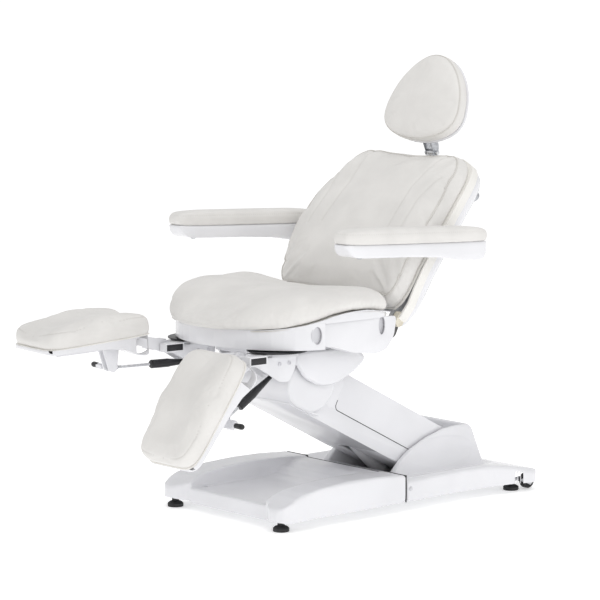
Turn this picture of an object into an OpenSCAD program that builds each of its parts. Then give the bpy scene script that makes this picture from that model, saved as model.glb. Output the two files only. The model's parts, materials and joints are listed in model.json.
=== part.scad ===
// Podiatry chair with a motor lift, a tilting seat, a reclining back and two split leg rests.
// The sitter faces -Y, the sitter's left is +X and +Z is up. The origin lies on the floor under the
// middle of the chair. Sizes in millimetres. The chair is drawn as it stands in use: seat low,
// back half reclined, the left leg rest folded down and the right one raised and turned out.

/* [Base] */
// Half the spacing of the levelling feet across the chair
foot_x = 227; // [215:1:232]
// Spacing of the feet along the chair
foot_span = 881; // [840:1:886]
// Diameter of a levelling foot
foot_d = 45; // [36:1:50]
// Height of a foot under its nut
foot_h = 17; // [12:1:19]
// Underside of the steel base plate
plate_z = 27; // [26:0.5:30]
// Thickness of the base plate
plate_t = 6; // [4:0.5:8]
// Half the width of the base plate
plate_half = 240; // [236:1:242]
// Wall of the moulded covers
wall = 4; // [3:0.5:5]
// Lower edge of the covers
cover_low = 24; // [22:0.5:25]
// Half the width of the covers
cover_half = 256; // [252:1:262]
// Front end of the covers, ahead of the front feet
nose_len = 28; // [26:1:34]
// Seam between the front and rear covers, behind the front feet
seam_y = 438; // [430:1:450]
// Width of that seam
seam_gap = 3; // [2:0.5:5]
// Height of the front tray floor
tray_z = 61; // [56:0.5:66]
// Half the width of the front tray
tray_half = 162; // [150:1:170]
// Top of the front cover rails
rail_top = 111; // [104:1:118]
// Rear end of the covers, behind the front feet
rear_end = 985; // [975:1:1000]
// Top of the rear deck beside the arm
deck_z = 88; // [84:1:94]
// Top of the arm housing on the deck
hump_top = 194; // [190:1:200]
// Half the width between the housing cheeks
hump_half = 129; // [128.5:0.5:132]
// Diameter of a transport wheel
wheel_d = 46; // [40:1:47]
// Width of a transport wheel
wheel_w = 20; // [16:1:22]

/* [Lift] */
// Upper pivot of the lift arm, behind the front feet
head_y = 179.929; // [176:0.001:184]
// Height of the upper pivot
head_z = 380.040; // [378:0.001:382]
// Length of the arm between its pivots
arm_len = 586; // [580:1:590]
// Slope of the arm as drawn
arm_angle = 27.44; // [26:0.1:29]
// Half the width of the arm cover
arm_half = 125; // [122:0.5:126]
// Diameter of the arm shafts
shaft_d = 32; // [28:1:34]
// Drop of the parallel link under the arm
link_drop = 60; // [58:1:62]

/* [Seat] */
// Half the width of the seat shell
seat_half = 290; // [280:1:292]
// Front of the seat shell, ahead of the front feet
seat_front = 79; // [74:1:84]
// Underside of the seat shell
shell_z = 490; // [489:0.5:492]
// Seat tilt pivot, behind the front feet
tilt_y = 310; // [306:1:314]
// Height of the seat tilt pivot
tilt_z = 486; // [485:0.5:487]
// Thickness of the seat cushion over its seam at the sides
seat_pad_t = 82; // [72:1:90]

/* [Back] */
// Recline pivot, behind the front feet
recline_y = 425; // [421:1:429]
// Height of the recline pivot
recline_z = 528; // [526:1:530]
// Slope of the back as drawn
back_angle = 56; // [54:0.5:58]
// Length of the back cushion
back_len = 505; // [480:1:520]
// Half the width of the back cushion
back_half = 268; // [260:1:270]
// Thickness of the back cushion at its edge band
back_pad_t = 62; // [50:1:66]

/* [Armrests] */
// Half the spacing of the armrests
armrest_x = 351; // [350:0.5:356]
// Width of an armrest
armrest_w = 76; // [64:1:77]
// Length of an armrest
armrest_len = 535; // [500:1:550]
// Thickness of the armrest pad
armrest_pad_t = 39; // [30:1:44]
// Depth of the armrest cover under its seam at the front
armrest_cover_t = 36; // [32:1:40]
// Fall of the armrest to the rear as drawn
armrest_angle = 2.6; // [1:0.1:4]

/* [Headrest] */
// Width of the headrest
head_w = 300; // [260:1:310]
// Height of the headrest
head_len = 262; // [240:1:270]
// Thickness of the headrest cushion
head_pad_t = 52; // [42:1:60]
// Slope of the headrest as drawn
head_angle = 68; // [64:0.5:72]

/* [Leg rests] */
// Half the spacing of the leg rest swivels
leg_x = 170; // [164:1:174]
// Swivels behind the front feet
swivel_y = 36; // [32:1:40]
// Leg hinge ahead of its swivel
hinge_reach = 116; // [112:1:120]
// Height of the leg hinge
hinge_z = 470; // [468:0.5:471]
// Angle of the left leg rest below the level as drawn
left_drop = 53.7; // [50:0.1:56]
// Angle of the right leg rest below the level as drawn
right_drop = 3.6; // [2:0.1:6]
// Angle of the right leg rest turned outwards as drawn
right_turn = 4.6; // [3:0.1:6]
// Width of a leg pad
leg_w = 214; // [200:1:218]
// Length of a leg pad
leg_len = 335; // [320:1:345]
// Thickness of a leg pad
leg_pad_t = 62; // [50:1:68]
// How far the right pad is drawn out
right_out = 60; // [50:1:70]

/* [Hidden] */

// Shift of the floor frame to the origin
origin_y = -242.5;
// Overrun of cuts and the clearances
over = 1;
run_fit = 0.05;
slide_fit = 0.15;
soft_gap = 0.3;
edge_n = 5;
corner_share = 0.45;
// Facets of every round form that gives no count of its own
$fn = 48;

// A table of shares laid out over two lengths
function fit(shares, a, la, b, lb) = [for (s = shares) [a + s[0] * la, b + s[1] * lb]];
// The outline with its corners rounded by a curve that starts r before each corner
function soft(p, r) = [for (i = [0 : len(p) - 1]) let (
    c = p[i], a = p[(i + len(p) - 1) % len(p)], b = p[(i + 1) % len(p)],
    s = c + (a - c) / norm(a - c) * min(r, norm(a - c) * corner_share),
    e = c + (b - c) / norm(b - c) * min(r, norm(b - c) * corner_share))
  for (k = [0 : edge_n]) let (t = k / edge_n) s * (1 - t) * (1 - t) + c * 2 * t * (1 - t) + e * t * t];
// A half outline on +X and its mirror image
function both(p) = concat(p, [for (i = [len(p) - 1 : -1 : 0]) [-p[i][0], p[i][1]]]);
// The outline drawn in by w on every side of the point c
function drawn_in(p, c, w) = [for (q = p) [q[0] - w * sign(q[0] - c[0]), q[1] - w * sign(q[1] - c[1])]];

// A (y, z) outline carried across the chair from x0 to x1
module across(p, x0, x1) {
  translate([x0, 0, 0]) rotate([90, 0, 90]) linear_extrude(x1 - x0) polygon(p);
}
// The same on both sides of the middle
module across_both(p, x0, x1) {
  across(p, x0, x1);
  across(p, -x1, -x0);
}
// An (x, z) outline carried along the chair from y0 to y1
module lengthwise(p, y0, y1) {
  translate([0, y1, 0]) rotate([90, 0, 0]) linear_extrude(y1 - y0) polygon(p);
}
// A plan outline carried up from z0 to z1
module upright(p, z0, z1) {
  translate([0, 0, z0]) linear_extrude(z1 - z0) polygon(p);
}
// A round bar along X between x0 and x1
module bar(r, x0, x1, y = 0, z = 0) {
  translate([x0, y, z]) rotate([0, 90, 0]) cylinder(r = r, h = x1 - x0);
}
// A block given by its two corners
module block(a, b) {
  translate(a) cube(b - a);
}
// The same three, given for +X and mirrored to the side s
module side_across(s, p, x0, x1) {
  across(p, min(s * x0, s * x1), max(s * x0, s * x1));
}
module side_bar(s, r, x0, x1, y = 0, z = 0) {
  bar(r, min(s * x0, s * x1), max(s * x0, s * x1), y, z);
}
module side_block(s, x, y, z) {
  block([min(s * x[0], s * x[1]), y[0], z[0]], [max(s * x[0], s * x[1]), y[1], z[1]]);
}
// A closed skin over rings of points, with a point in the middle of each end
module skin(rings, low_mid, high_mid) {
  n = len(rings[0]);
  m = len(rings);
  pts = concat([for (r = rings) each r], [low_mid, high_mid]);
  faces = concat(
    [for (j = [0 : m - 2]) for (i = [0 : n - 1]) each let (
        a = j * n + i, b = j * n + (i + 1) % n, c = a + n, d = b + n)
      [[a, c, b], [b, c, d]]],
    [for (i = [0 : n - 1]) [m * n, i, (i + 1) % n]],
    [for (i = [0 : n - 1]) [m * n + 1, (m - 1) * n + (i + 1) % n, (m - 1) * n + i]]);
  polyhedron(pts, faces);
}
// The same rings run the other way round
function turned(rings) = [for (r = rings) [for (i = [len(r) - 1 : -1 : 0]) r[i]]];
// A padded form over a plan outline: steps hold the share of the outline and of the height
module padded(plan, mid, steps, low, high) {
  place = function(q, h) [q[0], q[1], low(q[0], q[1]) + (high(q[0], q[1]) - low(q[0], q[1])) * h];
  rings = [for (s = steps) [for (q = plan) place(mid + (q - mid) * s[0], s[1])]];
  skin(rings, place(mid, 0), place(mid, 1));
}
pad_step_shares = [[0.5, 0], [0.955, 0], [0.975, 0.05], [0.995, 0.18], [1, 0.35], [0.992, 0.55],
  [0.965, 0.74], [0.915, 0.88], [0.82, 0.96], [0.6, 0.99], [0.3, 1]];
// Points of an oval whose corners fill out with the power p
function oval(a, b, n, p) = [for (i = [0 : n - 1]) let (t = 360 * i / n, c = cos(t), s = sin(t))
  [a * sign(c) * pow(abs(c), p), b * sign(s) * pow(abs(s), p)]];

white = [0.93, 0.93, 0.95];
cloth = [0.89, 0.88, 0.87];
dark = [0.16, 0.16, 0.18];
steel = [0.75, 0.76, 0.78];
painted = [0.9, 0.9, 0.91];

// Places shared by several pieces
plate_top = plate_z + plate_t;
lift_y = head_y + arm_len * cos(arm_angle);
lift_z = head_z - arm_len * sin(arm_angle);
hinge_y = swivel_y - hinge_reach;
shaft_r = shaft_d / 2;

module in_arm() {
  translate([0, lift_y, lift_z]) rotate([-arm_angle, 0, 0]) children();
}
module in_back() {
  translate([0, recline_y, recline_z]) rotate([back_angle, 0, 0]) children();
}
// Leg side 1 is the left one, -1 the right one
function leg_drop(side) = side > 0 ? left_drop : right_drop;
function leg_turn(side) = side > 0 ? 0 : -right_turn;
function leg_out(side) = side > 0 ? 0 : right_out;
module in_swivel(side) {
  translate([side * leg_x, swivel_y, 0]) rotate([0, 0, leg_turn(side)]) children();
}
module in_leg(side) {
  in_swivel(side) translate([0, -hinge_reach, hinge_z]) rotate([leg_drop(side), 0, 0]) children();
}
module in_pad(side) {
  in_leg(side) translate([0, -leg_out(side), 0]) children();
}

// Base
stud_d = 12;
foot_places = [for (sx = [-1, 1]) for (y = [0, foot_span]) [sx * foot_x, y]];
ear_x = 96;
ear_t = 10;
ear_r = 26;
link_x = 45;
link_pin_r = 8;
link_r = 14;
link_t = 12;
lug_t = 8;
act_x = -20;
lift_foot_y = 610;
lift_foot_z = 48;
eye_r = 13;
eye_pin_r = 6;
channel_x = 184;
channel_w = 38;
channel_h = 36;
axle_r = 6;
wheel_x = 244;
wheel_y = 929;
wheel_z = 25;
cheek_gap = 1.5;
fork_t = 5;
plate_front_shares = [[0, 0.035], [0.84, 0.035], [0.84, 0], [1, 0]];

module lug(x0, x1, y, z, r, base_z, half) {
  across([[y - half, base_z], [y + half, base_z], [y + r * corner_share, z], [y - r * corner_share, z]],
    x0, x1);
  bar(r, x0, x1, y, z);
}

module base_frame() color(steel) {
  plate_front = -nose_len + wall * 3;
  plate_back = foot_span + stud_d * 1.6;
  difference() {
    union() {
      upright(both([[tray_half + wall * 2, wall * 2], [tray_half + wall * 2, wall * 2 - over],
        [foot_x - foot_d / 2, wall * 2 - over], [foot_x - foot_d / 2, plate_front],
        [plate_half, plate_front], [plate_half, plate_back]]), plate_z, plate_top);
      for (s = [-1, 1]) {
        block([s * (channel_x + channel_w / 2) - channel_w / 2, foot_d, plate_top],
          [s * (channel_x + channel_w / 2) + channel_w / 2, foot_span - foot_d, plate_top + channel_h]);
        lug(min(s * ear_x, s * (ear_x + ear_t)), max(s * ear_x, s * (ear_x + ear_t)),
          lift_y, lift_z, ear_r, plate_top, ear_r);
      }
      lug(link_x - link_t / 2 - cheek_gap / 3 - lug_t, link_x - link_t / 2 - cheek_gap / 3,
        lift_y, lift_z - link_drop, link_r, plate_top, link_r);
      lug(act_x - lug_t / 2, act_x + lug_t / 2, lift_foot_y, lift_foot_z, eye_r, plate_top, eye_r);
      for (s = [-1, 1]) for (k = [-1, 1]) let (x = s * wheel_x + k * (wheel_w / 2 + cheek_gap + fork_t / 2))
        across([[plate_back - stud_d * 0.6, plate_z], [plate_back, plate_z - over], [wheel_y,
          wheel_z - axle_r * 2],
          [wheel_y + axle_r * 2, wheel_z], [wheel_y, wheel_z + axle_r * 2],
          [plate_back, plate_top + over], [plate_back - stud_d * 0.6, plate_top]], x - fork_t / 2,
            x + fork_t / 2);
    }
    for (p = foot_places) translate([p[0], p[1], plate_z - over])
      cylinder(d = stud_d, h = plate_t + over * 2);
    bar(shaft_r, -plate_half, plate_half, lift_y, lift_z);
  }
  bar(link_pin_r, link_x - link_t / 2 - cheek_gap / 3, link_x + link_t / 2 + cheek_gap, lift_y,
    lift_z - link_drop);
  for (k = [0, 1]) bar(eye_pin_r, act_x + (k == 0 ? -lug_t * 2 : lug_t / 2),
    act_x + (k == 0 ? -lug_t / 2 : lug_t * 2),
    lift_foot_y, lift_foot_z);
  for (s = [-1, 1]) bar(axle_r, s * wheel_x - wheel_w / 2 - cheek_gap, s * wheel_x + wheel_w / 2 + cheek_gap,
    wheel_y, wheel_z);
}

module levelling_feet() color(dark) {
  nut_h = 8;
  for (p = foot_places) translate([p[0], p[1], 0]) {
    rotate_extrude() polygon(soft([[0, 0], [foot_d / 2 - over, 0], [foot_d / 2, over],
      [foot_d / 2, foot_h * 0.55], [foot_d * 0.4, foot_h * 0.8], [stud_d * 0.8, foot_h], [0, foot_h]],
        over / 2));
    translate([0, 0, foot_h]) cylinder(d = stud_d * 1.7, h = plate_z - foot_h, $fn = 6);
    translate([0, 0, foot_h / 2]) cylinder(d = stud_d - run_fit * 2,
      h = plate_top + nut_h - foot_h / 2 + stud_d / 3);
    translate([0, 0, plate_top]) cylinder(d = stud_d * 1.7, h = nut_h, $fn = 6);
  }
}

module transport_wheel(s) color(dark) {
  translate([s * wheel_x, wheel_y, wheel_z]) rotate([0, 90, 0]) difference() {
    rotate_extrude() polygon([[0, -wheel_w / 2], [wheel_d * 0.44, -wheel_w / 2],
      [wheel_d / 2, -wheel_w * 0.38], [wheel_d / 2, wheel_w * 0.38], [wheel_d * 0.44, wheel_w / 2],
      [wheel_d * 0.36, wheel_w / 2], [wheel_d * 0.34, wheel_w * 0.4], [wheel_d * 0.2, wheel_w * 0.4],
      [wheel_d * 0.18, wheel_w / 2], [0, wheel_w / 2]]);
    cylinder(r = axle_r + run_fit, h = wheel_w + over * 2, center = true);
  }
}
module transport_wheel_left() transport_wheel(1);
module transport_wheel_right() transport_wheel(-1);

// Side outline of a front rail, from the nose to the seam and from the lower edge to the rail top
rail_shares = [[0.01, 0], [0, 0.09], [0, 0.37], [0.012, 0.47], [0.045, 0.54], [0.11, 0.74], [0.19, 0.85],
  [0.34, 0.94], [0.56, 1], [0.78, 0.97], [1, 0.89], [1, 0]];
// Half plan of the front cover: x as a share of the half width, y from the nose to the seam
front_plan_shares = [[0.63, 0.06], [0.655, 0.058], [0.71, 0.045], [0.77, 0.012], [0.85, 0], [0.93, 0.0],
  [1, 0.025], [1.035, 0.08], [1.03, 0.16], [1, 0.3], [0.995, 1]];
// Outline of the tray, from ahead of the nose to behind the seam, with its steps up to the arm
tray_shares = [[-0.2, 0], [0.65, 0], [0.7, 0.12], [0.74, 0.14], [0.79, 0.42], [0.83, 0.46], [0.89, 0.68],
  [1.1, 0.76], [1.1, 2], [-0.2, 2]];
// The plan drawn in by w, also on the inner faces of the noses
function front_plan(w, len) = [for (q = both(fit(front_plan_shares, 0, cover_half, -nose_len, len)))
  [q[0] - w * sign(q[0]) * (abs(q[0]) > cover_half * nose_mid_share ? 1 : -1),
    q[1] - w * sign(q[1] - len / 2)]];
nose_mid_share = 0.84;
module front_form(w) {
  len = seam_y + nose_len;
  tray = fit(tray_shares, -nose_len, len, tray_z - w, rail_top - tray_z);
  difference() {
    intersection() {
      across(drawn_in(soft(fit(rail_shares, -nose_len, len, cover_low, rail_top - cover_low), wall * 2),
        [len / 2, -rail_top], w), -cover_half * 1.2, cover_half * 1.2);
      upright(front_plan(w, len), 0, rail_top * 2);
      lengthwise(soft([[-cover_half * 1.04 + w, 0], [cover_half * 1.04 - w, 0],
        [cover_half * 1.04 - w, rail_top * 0.62], [cover_half - w, rail_top + wall - w],
        [-cover_half + w, rail_top + wall - w], [-cover_half * 1.04 + w, rail_top * 0.62]], wall * 6),
        -nose_len * 2, seam_y * 2);
    }
    intersection() {
      across(soft(tray, wall * 4), -tray_half - w, tray_half + w);
      upright(soft([[-tray_half - w, -seam_y], [tray_half + w, -seam_y], [tray_half + w, seam_y * 0.62],
        [tray_half * 1.35 + w, seam_y * 1.2], [-tray_half * 1.35 - w, seam_y * 1.2],
        [-tray_half - w, seam_y * 0.62]], wall * 8), 0, rail_top * 2);
    }
  }
}
lip_z = 17;
module front_cover() color(white) {
  difference() {
    union() {
      front_form(0);
      block([-tray_half, 0, lip_z], [tray_half, wall, cover_low + over]);
    }
    difference() {
      front_form(wall);
      block([-cover_half, -nose_len * 2, -over], [cover_half, wall - over, -over / 2]);
    }
    block([-plate_half, seam_y - wall * 2, -over], [plate_half, seam_y * 2, plate_top + channel_h]);
    for (p = foot_places) translate([p[0], p[1], -over]) cylinder(d = foot_d * 0.8, h = cover_low);
    for (p = tray_screw_places) translate([p[0], p[1], tray_z - wall * 2]) cylinder(d = screw_d,
      h = wall * 3);
  }
}
screw_d = 6;
cap_d = 13;
cap_h = 2.5;
tray_screw_places = [[-tray_half * 0.93, nose_len * 1.8], [tray_half * 0.72, nose_len * 2.1]];
side_screw_y = seam_y + 17;
side_screw_z = 61;
module cover_screws() color(painted) {
  for (p = tray_screw_places) translate([p[0], p[1], tray_z]) {
    rotate_extrude() polygon([[0, 0], [cap_d / 2, 0], [cap_d * 0.42, cap_h * 0.7], [cap_d * 0.3, cap_h],
      [0, cap_h]]);
    translate([0, 0, -wall * 2]) cylinder(d = screw_d - run_fit * 2, h = wall * 2);
  }
  for (s = [-1, 1]) translate([s * rear_side_x, side_screw_y, side_screw_z]) rotate([0, s * 90, 0]) {
    rotate_extrude() polygon([[0, 0], [cap_d / 2, 0], [cap_d * 0.42, cap_h * 0.7], [cap_d * 0.3, cap_h],
      [0, cap_h]]);
    translate([0, 0, -wall * 2]) cylinder(d = screw_d - run_fit * 2, h = wall * 2);
  }
}
rear_side_x = cover_half * 0.995;

// Half plan of the rear cover: x as a share of the half width, y from the seam to the rear end
rear_plan_shares = [[0.995, 0], [0.995, 0.05], [0.975, 0.2], [0.965, 0.42], [0.985, 0.6], [1.03, 0.74],
  [1.09, 0.82], [1.11, 0.865], [1.1, 0.9], [1.02, 0.925], [0.9, 0.95], [0.78, 0.985], [0.7, 1]];
rear_top_shares = [[0, 0], [0, 1], [0.15, 1.01], [0.5, 1], [0.62, 0.97], [0.78, 0.78], [0.9, 0.6], [0.98,
  0.42],
  [1, 0.3], [0.99, 0]];
// Side outline of the arm housing, from its front foot to its rear foot
hump_shares = [[0, 0], [0.02, 0.12], [0.13, 0.44], [0.24, 0.64], [0.42, 0.84], [0.6, 0.97], [0.74, 1],
  [0.86, 1],
  [0.905, 0.9], [0.95, 0.55], [1, 0.1], [1, 0]];
hump_y = 468;
hump_len = 376;
hump_wall = 11;
pit_end = 774;
module rear_form(w) {
  y0 = seam_y + seam_gap;
  len = rear_end - y0;
  foot_half = hump_half + hump_wall * 2.6;
  intersection() {
    across(drawn_in(soft(fit(rear_top_shares, y0, len, cover_low, deck_z - cover_low), wall * 3),
      [y0 + len / 2, -deck_z], w), -cover_half * 1.2, cover_half * 1.2);
    upright(drawn_in(soft(both(fit(rear_plan_shares, 0, cover_half, y0, len)), wall * 4), [0,
      y0 + len / 2], w), 0, deck_z * 2);
    lengthwise(soft(both([[cover_half * 1.14 - w, -deck_z], [cover_half * 1.14 - w, deck_z * 0.55],
      [cover_half * 0.93 - w, deck_z + wall - w], [foot_half + w, deck_z * 0.8 - w]]), wall * 5),
        y0 - over, rear_end + over);
  }
  intersection() {
    across(soft(drawn_in(fit(hump_shares, hump_y, hump_len, deck_z * 0.6, hump_top - deck_z * 0.6),
      [hump_y + hump_len / 2, -hump_top], w), wall * 2), -foot_half, foot_half);
    lengthwise(soft(both([[foot_half - w, 0], [foot_half - w, deck_z * 0.7],
      [hump_half + hump_wall * 1.5 - w, deck_z * 1.4],
      [hump_half + hump_wall - w, hump_top * 0.9], [hump_half + hump_wall - w, hump_top + over - w],
      [hump_half - wall, hump_top + over - w]]), wall), hump_y, hump_y + hump_len);
  }
}
module rear_cover() color(white) {
  difference() {
    rear_form(0);
    difference() {
      rear_form(wall);
      block([hump_half - over, 0, 0], [hump_half + wall, pit_end, hump_top]);
      block([-hump_half - wall, 0, 0], [-hump_half + over, pit_end, hump_top]);
      block([-hump_half - wall, pit_end, 0], [hump_half + wall, pit_end + wall, hump_top]);
    }
    block([-hump_half, 0, -over], [hump_half, pit_end, hump_top * 2]);
    block([-hump_half * 1.5, 0, -over], [hump_half * 1.5, rear_end * 2, plate_top + wall]);
    block([-plate_half - over, 0, -over], [plate_half + over, seam_y + seam_gap + wall * 2,
      plate_top + channel_h + over]);
    for (s = [-1, 1]) block([s * wheel_x - wheel_w, wheel_y - wheel_d, -over],
      [s * wheel_x + wheel_w, wheel_y + wheel_d * 0.6, wheel_z + wheel_d / 2 + over * 2]);
    bar(screw_d / 2, -cover_half * 2, cover_half * 2, side_screw_y, side_screw_z);
  }
  // ribs that stand on the channels
  for (s = [-1, 1]) for (y = [seam_y + foot_d, foot_span - foot_d * 2])
    side_block(s, [channel_x + wall, channel_x + wall * 2.5], [y, y + wall * 2], [plate_top + channel_h,
      deck_z * 0.88]);
}

module lift_pivot_shaft() color(steel) {
  half = ear_x + ear_t;
  difference() {
    union() {
      bar(shaft_r, -half - wall, half + wall, lift_y, lift_z);
    }
    for (s = [-1, 1]) bar(shaft_r / 3, s * (half + wall * 1.5) - wall * 2,
      s * (half + wall * 1.5) + wall * 2, lift_y, lift_z);
  }
}

// Lift arm, drawn in the arm's own frame with its lower pivot at the origin
beam_x = 66;
beam_t = 8;
beam_h = 30;
boss_r = 24;
boss_w = 25;
crank_s = 330;
crank_h = -20;
arm_low = -82;
arm_high = 72;
arm_cut = 200;
arm_tip = 470;
cover_t = 4;
module arm_frame() color(steel) in_arm() difference() {
  union() {
    for (s = [-1, 1]) {
      x0 = s > 0 ? beam_x : -beam_x - beam_t;
      across(soft([[boss_r, -beam_h], [boss_r, beam_h], [-arm_len - boss_r, beam_h],
        [-arm_len - boss_r, -beam_h]], beam_h), x0, x0 + beam_t);
      for (y = [0, -arm_len]) bar(boss_r, min(s * beam_x, s * (beam_x + boss_w)), max(s * beam_x,
        s * (beam_x + boss_w)), y, 0);
      side_block(s, [beam_x, arm_half - cover_t * 1.5], [-arm_len * 0.55, -arm_len * 0.5], [arm_seam * 1.5,
        beam_h * 0.8]);
    }
    for (k = [0.3, crank_s / arm_len, 0.78]) block([-beam_x, -arm_len * k - beam_h, beam_h - beam_t],
      [beam_x, -arm_len * k + beam_h, beam_h]);
    for (k = [-1, 1]) crank_lug(act_x + k * lug_t * 2);
  }
  for (y = [0, -arm_len]) bar(shaft_r + run_fit, -arm_half, arm_half, y, 0);
}

module crank_lug(x) {
  across([[-crank_s - eye_r, crank_h], [-crank_s + eye_r, crank_h], [-crank_s + beam_h - over,
    beam_h - beam_t + over],
    [-crank_s - beam_h + over, beam_h - beam_t + over]], x - lug_t / 2, x + lug_t / 2);
  bar(eye_r, x - lug_t / 2, x + lug_t / 2, -crank_s, crank_h);
}

// Side outline of the arm cover, rounded about the lower pivot
module arm_box(x, low, high, front, back) {
  across(soft([[back, low * 0.45], [back, high * 0.25], [back * 0.75, high * 0.66], [back * 0.3, high * 0.94],
    [-high * 0.4, high], [-front, high], [-front, low], [-arm_cut, low], [-arm_cut * 0.4, low * 0.9]],
      wall * 2), -x, x);
}
arm_back = 60;
// Seam between the arm cover and the top panel that straddles it
arm_seam = -33;
arm_panel_back = 36;
module arm_skin() difference() {
  arm_box(arm_half, arm_low, arm_high, arm_len + beam_h, arm_back);
  arm_box(arm_half - cover_t, arm_low + cover_t, arm_high - cover_t, arm_len + beam_h * 2,
    arm_back - cover_t);
  // open underneath at the lower end, and at the head where the head cover takes over
  block([-arm_half + cover_t, -arm_len * 0.41, arm_low * 2], [arm_half - cover_t, 0, arm_low * 0.1]);
  block([-arm_half + cover_t, -over, arm_low * 2], [arm_half - cover_t, arm_back * 2, arm_high * 0.1]);
  across([[-arm_tip, arm_high * 2], [-arm_tip, arm_low * 0.2], [-arm_len * 0.95, arm_low * 0.62],
    [-arm_len * 2, arm_low * 0.62], [-arm_len * 2, arm_high * 2]], -arm_half * 2, arm_half * 2);
}
module arm_panel_room(gap) {
  across(soft([[-arm_panel_back - gap, arm_seam + gap], [-arm_panel_back - gap, arm_high * 2],
    [-arm_tip * 2, arm_high * 2], [-arm_tip * 2, arm_seam + gap]], gap == 0 ? wall * 3 : wall * 3 - gap),
      -arm_half * 2, arm_half * 2);
}
module arm_cover() color(white) in_arm() {
  difference() {
    arm_skin();
    arm_panel_room(0);
  }
  // lips inside the seam
  for (s = [-1, 1]) {
    side_block(s, [arm_half - cover_t * 1.5, arm_half - cover_t + over / 2], [-arm_tip + wall,
      -arm_panel_back * 2], [arm_seam - wall * 2, arm_seam - wall]);
    side_block(s, [arm_half - cover_t * 1.5, arm_half - cover_t - slide_fit], [-arm_tip + wall,
      -arm_panel_back * 2], [arm_seam - wall * 1.5, arm_seam + wall]);
  }
}
module arm_top_panel() color(white) in_arm() intersection() {
  arm_skin();
  arm_panel_room(slide_fit);
}

// Outline of the round head cover, about the upper pivot
head_shares = [[-0.9, 0.16], [-0.96, -0.38], [-0.78, -0.7], [-0.4, -0.92], [0, -0.95], [0.6, -0.9], [1.2,
  -0.82],
  [2.0, -0.45], [2.1, 0.5], [1.9, 0.74], [0.4, 0.74], [-0.2, 0.6], [-0.6, 0.42]];
head_r = 86;
head_half = 150;
module arm_head_cover() color(white) in_arm() translate([0, -arm_len, 0]) {
  outer = soft(fit(head_shares, 0, head_r, 0, head_r), head_r * 0.3);
  difference() {
    across(outer, -head_half, head_half);
    across(drawn_in(outer, [0, 0], cover_t), -head_half + cover_t, head_half - cover_t);
    // open above for the carriage and behind for the arm
    block([-head_half + cover_t, -head_r * 0.45, -head_r * 0.3], [head_half - cover_t, head_r * 3,
      head_r * 2]);
    block([-head_half + cover_t, -head_r * 2, head_r * 0.12], [head_half - cover_t, head_r * 3, head_r * 2]);
    block([-arm_half - slide_fit, -beam_h - over, arm_low - over], [arm_half + slide_fit, head_r * 3,
      head_r * 2]);
  }
  // ties that screw the cheeks to the arm cover
  for (s = [-1, 1]) block([min(s * (arm_half + slide_fit), s * (head_half - cover_t)), head_r * 1.3,
    -head_r * 0.25],
    [max(s * (arm_half + slide_fit), s * (head_half - cover_t)), head_r * 1.5, head_r * 0.25]);
}

module parallel_link() color(steel) translate([0, lift_y, lift_z - link_drop]) rotate([-arm_angle, 0, 0])
  translate([link_x - link_t / 2, 0, 0]) rotate([90, 0, 90]) linear_extrude(link_t) difference() {
    union() {
      polygon([[-link_r * 0.5, -link_r * 0.7], [-link_r * 0.5, link_r * 0.7], [-arm_len + link_r * 0.5,
        link_r * 0.7],
        [-arm_len + link_r * 0.5, -link_r * 0.7]]);
      for (y = [0, -arm_len]) translate([y, 0]) circle(r = link_r);
    }
    circle(r = link_pin_r + run_fit);
    translate([-arm_len, 0]) circle(r = link_pin_r + open_gap);
  }
open_gap = 1.2;

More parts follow.
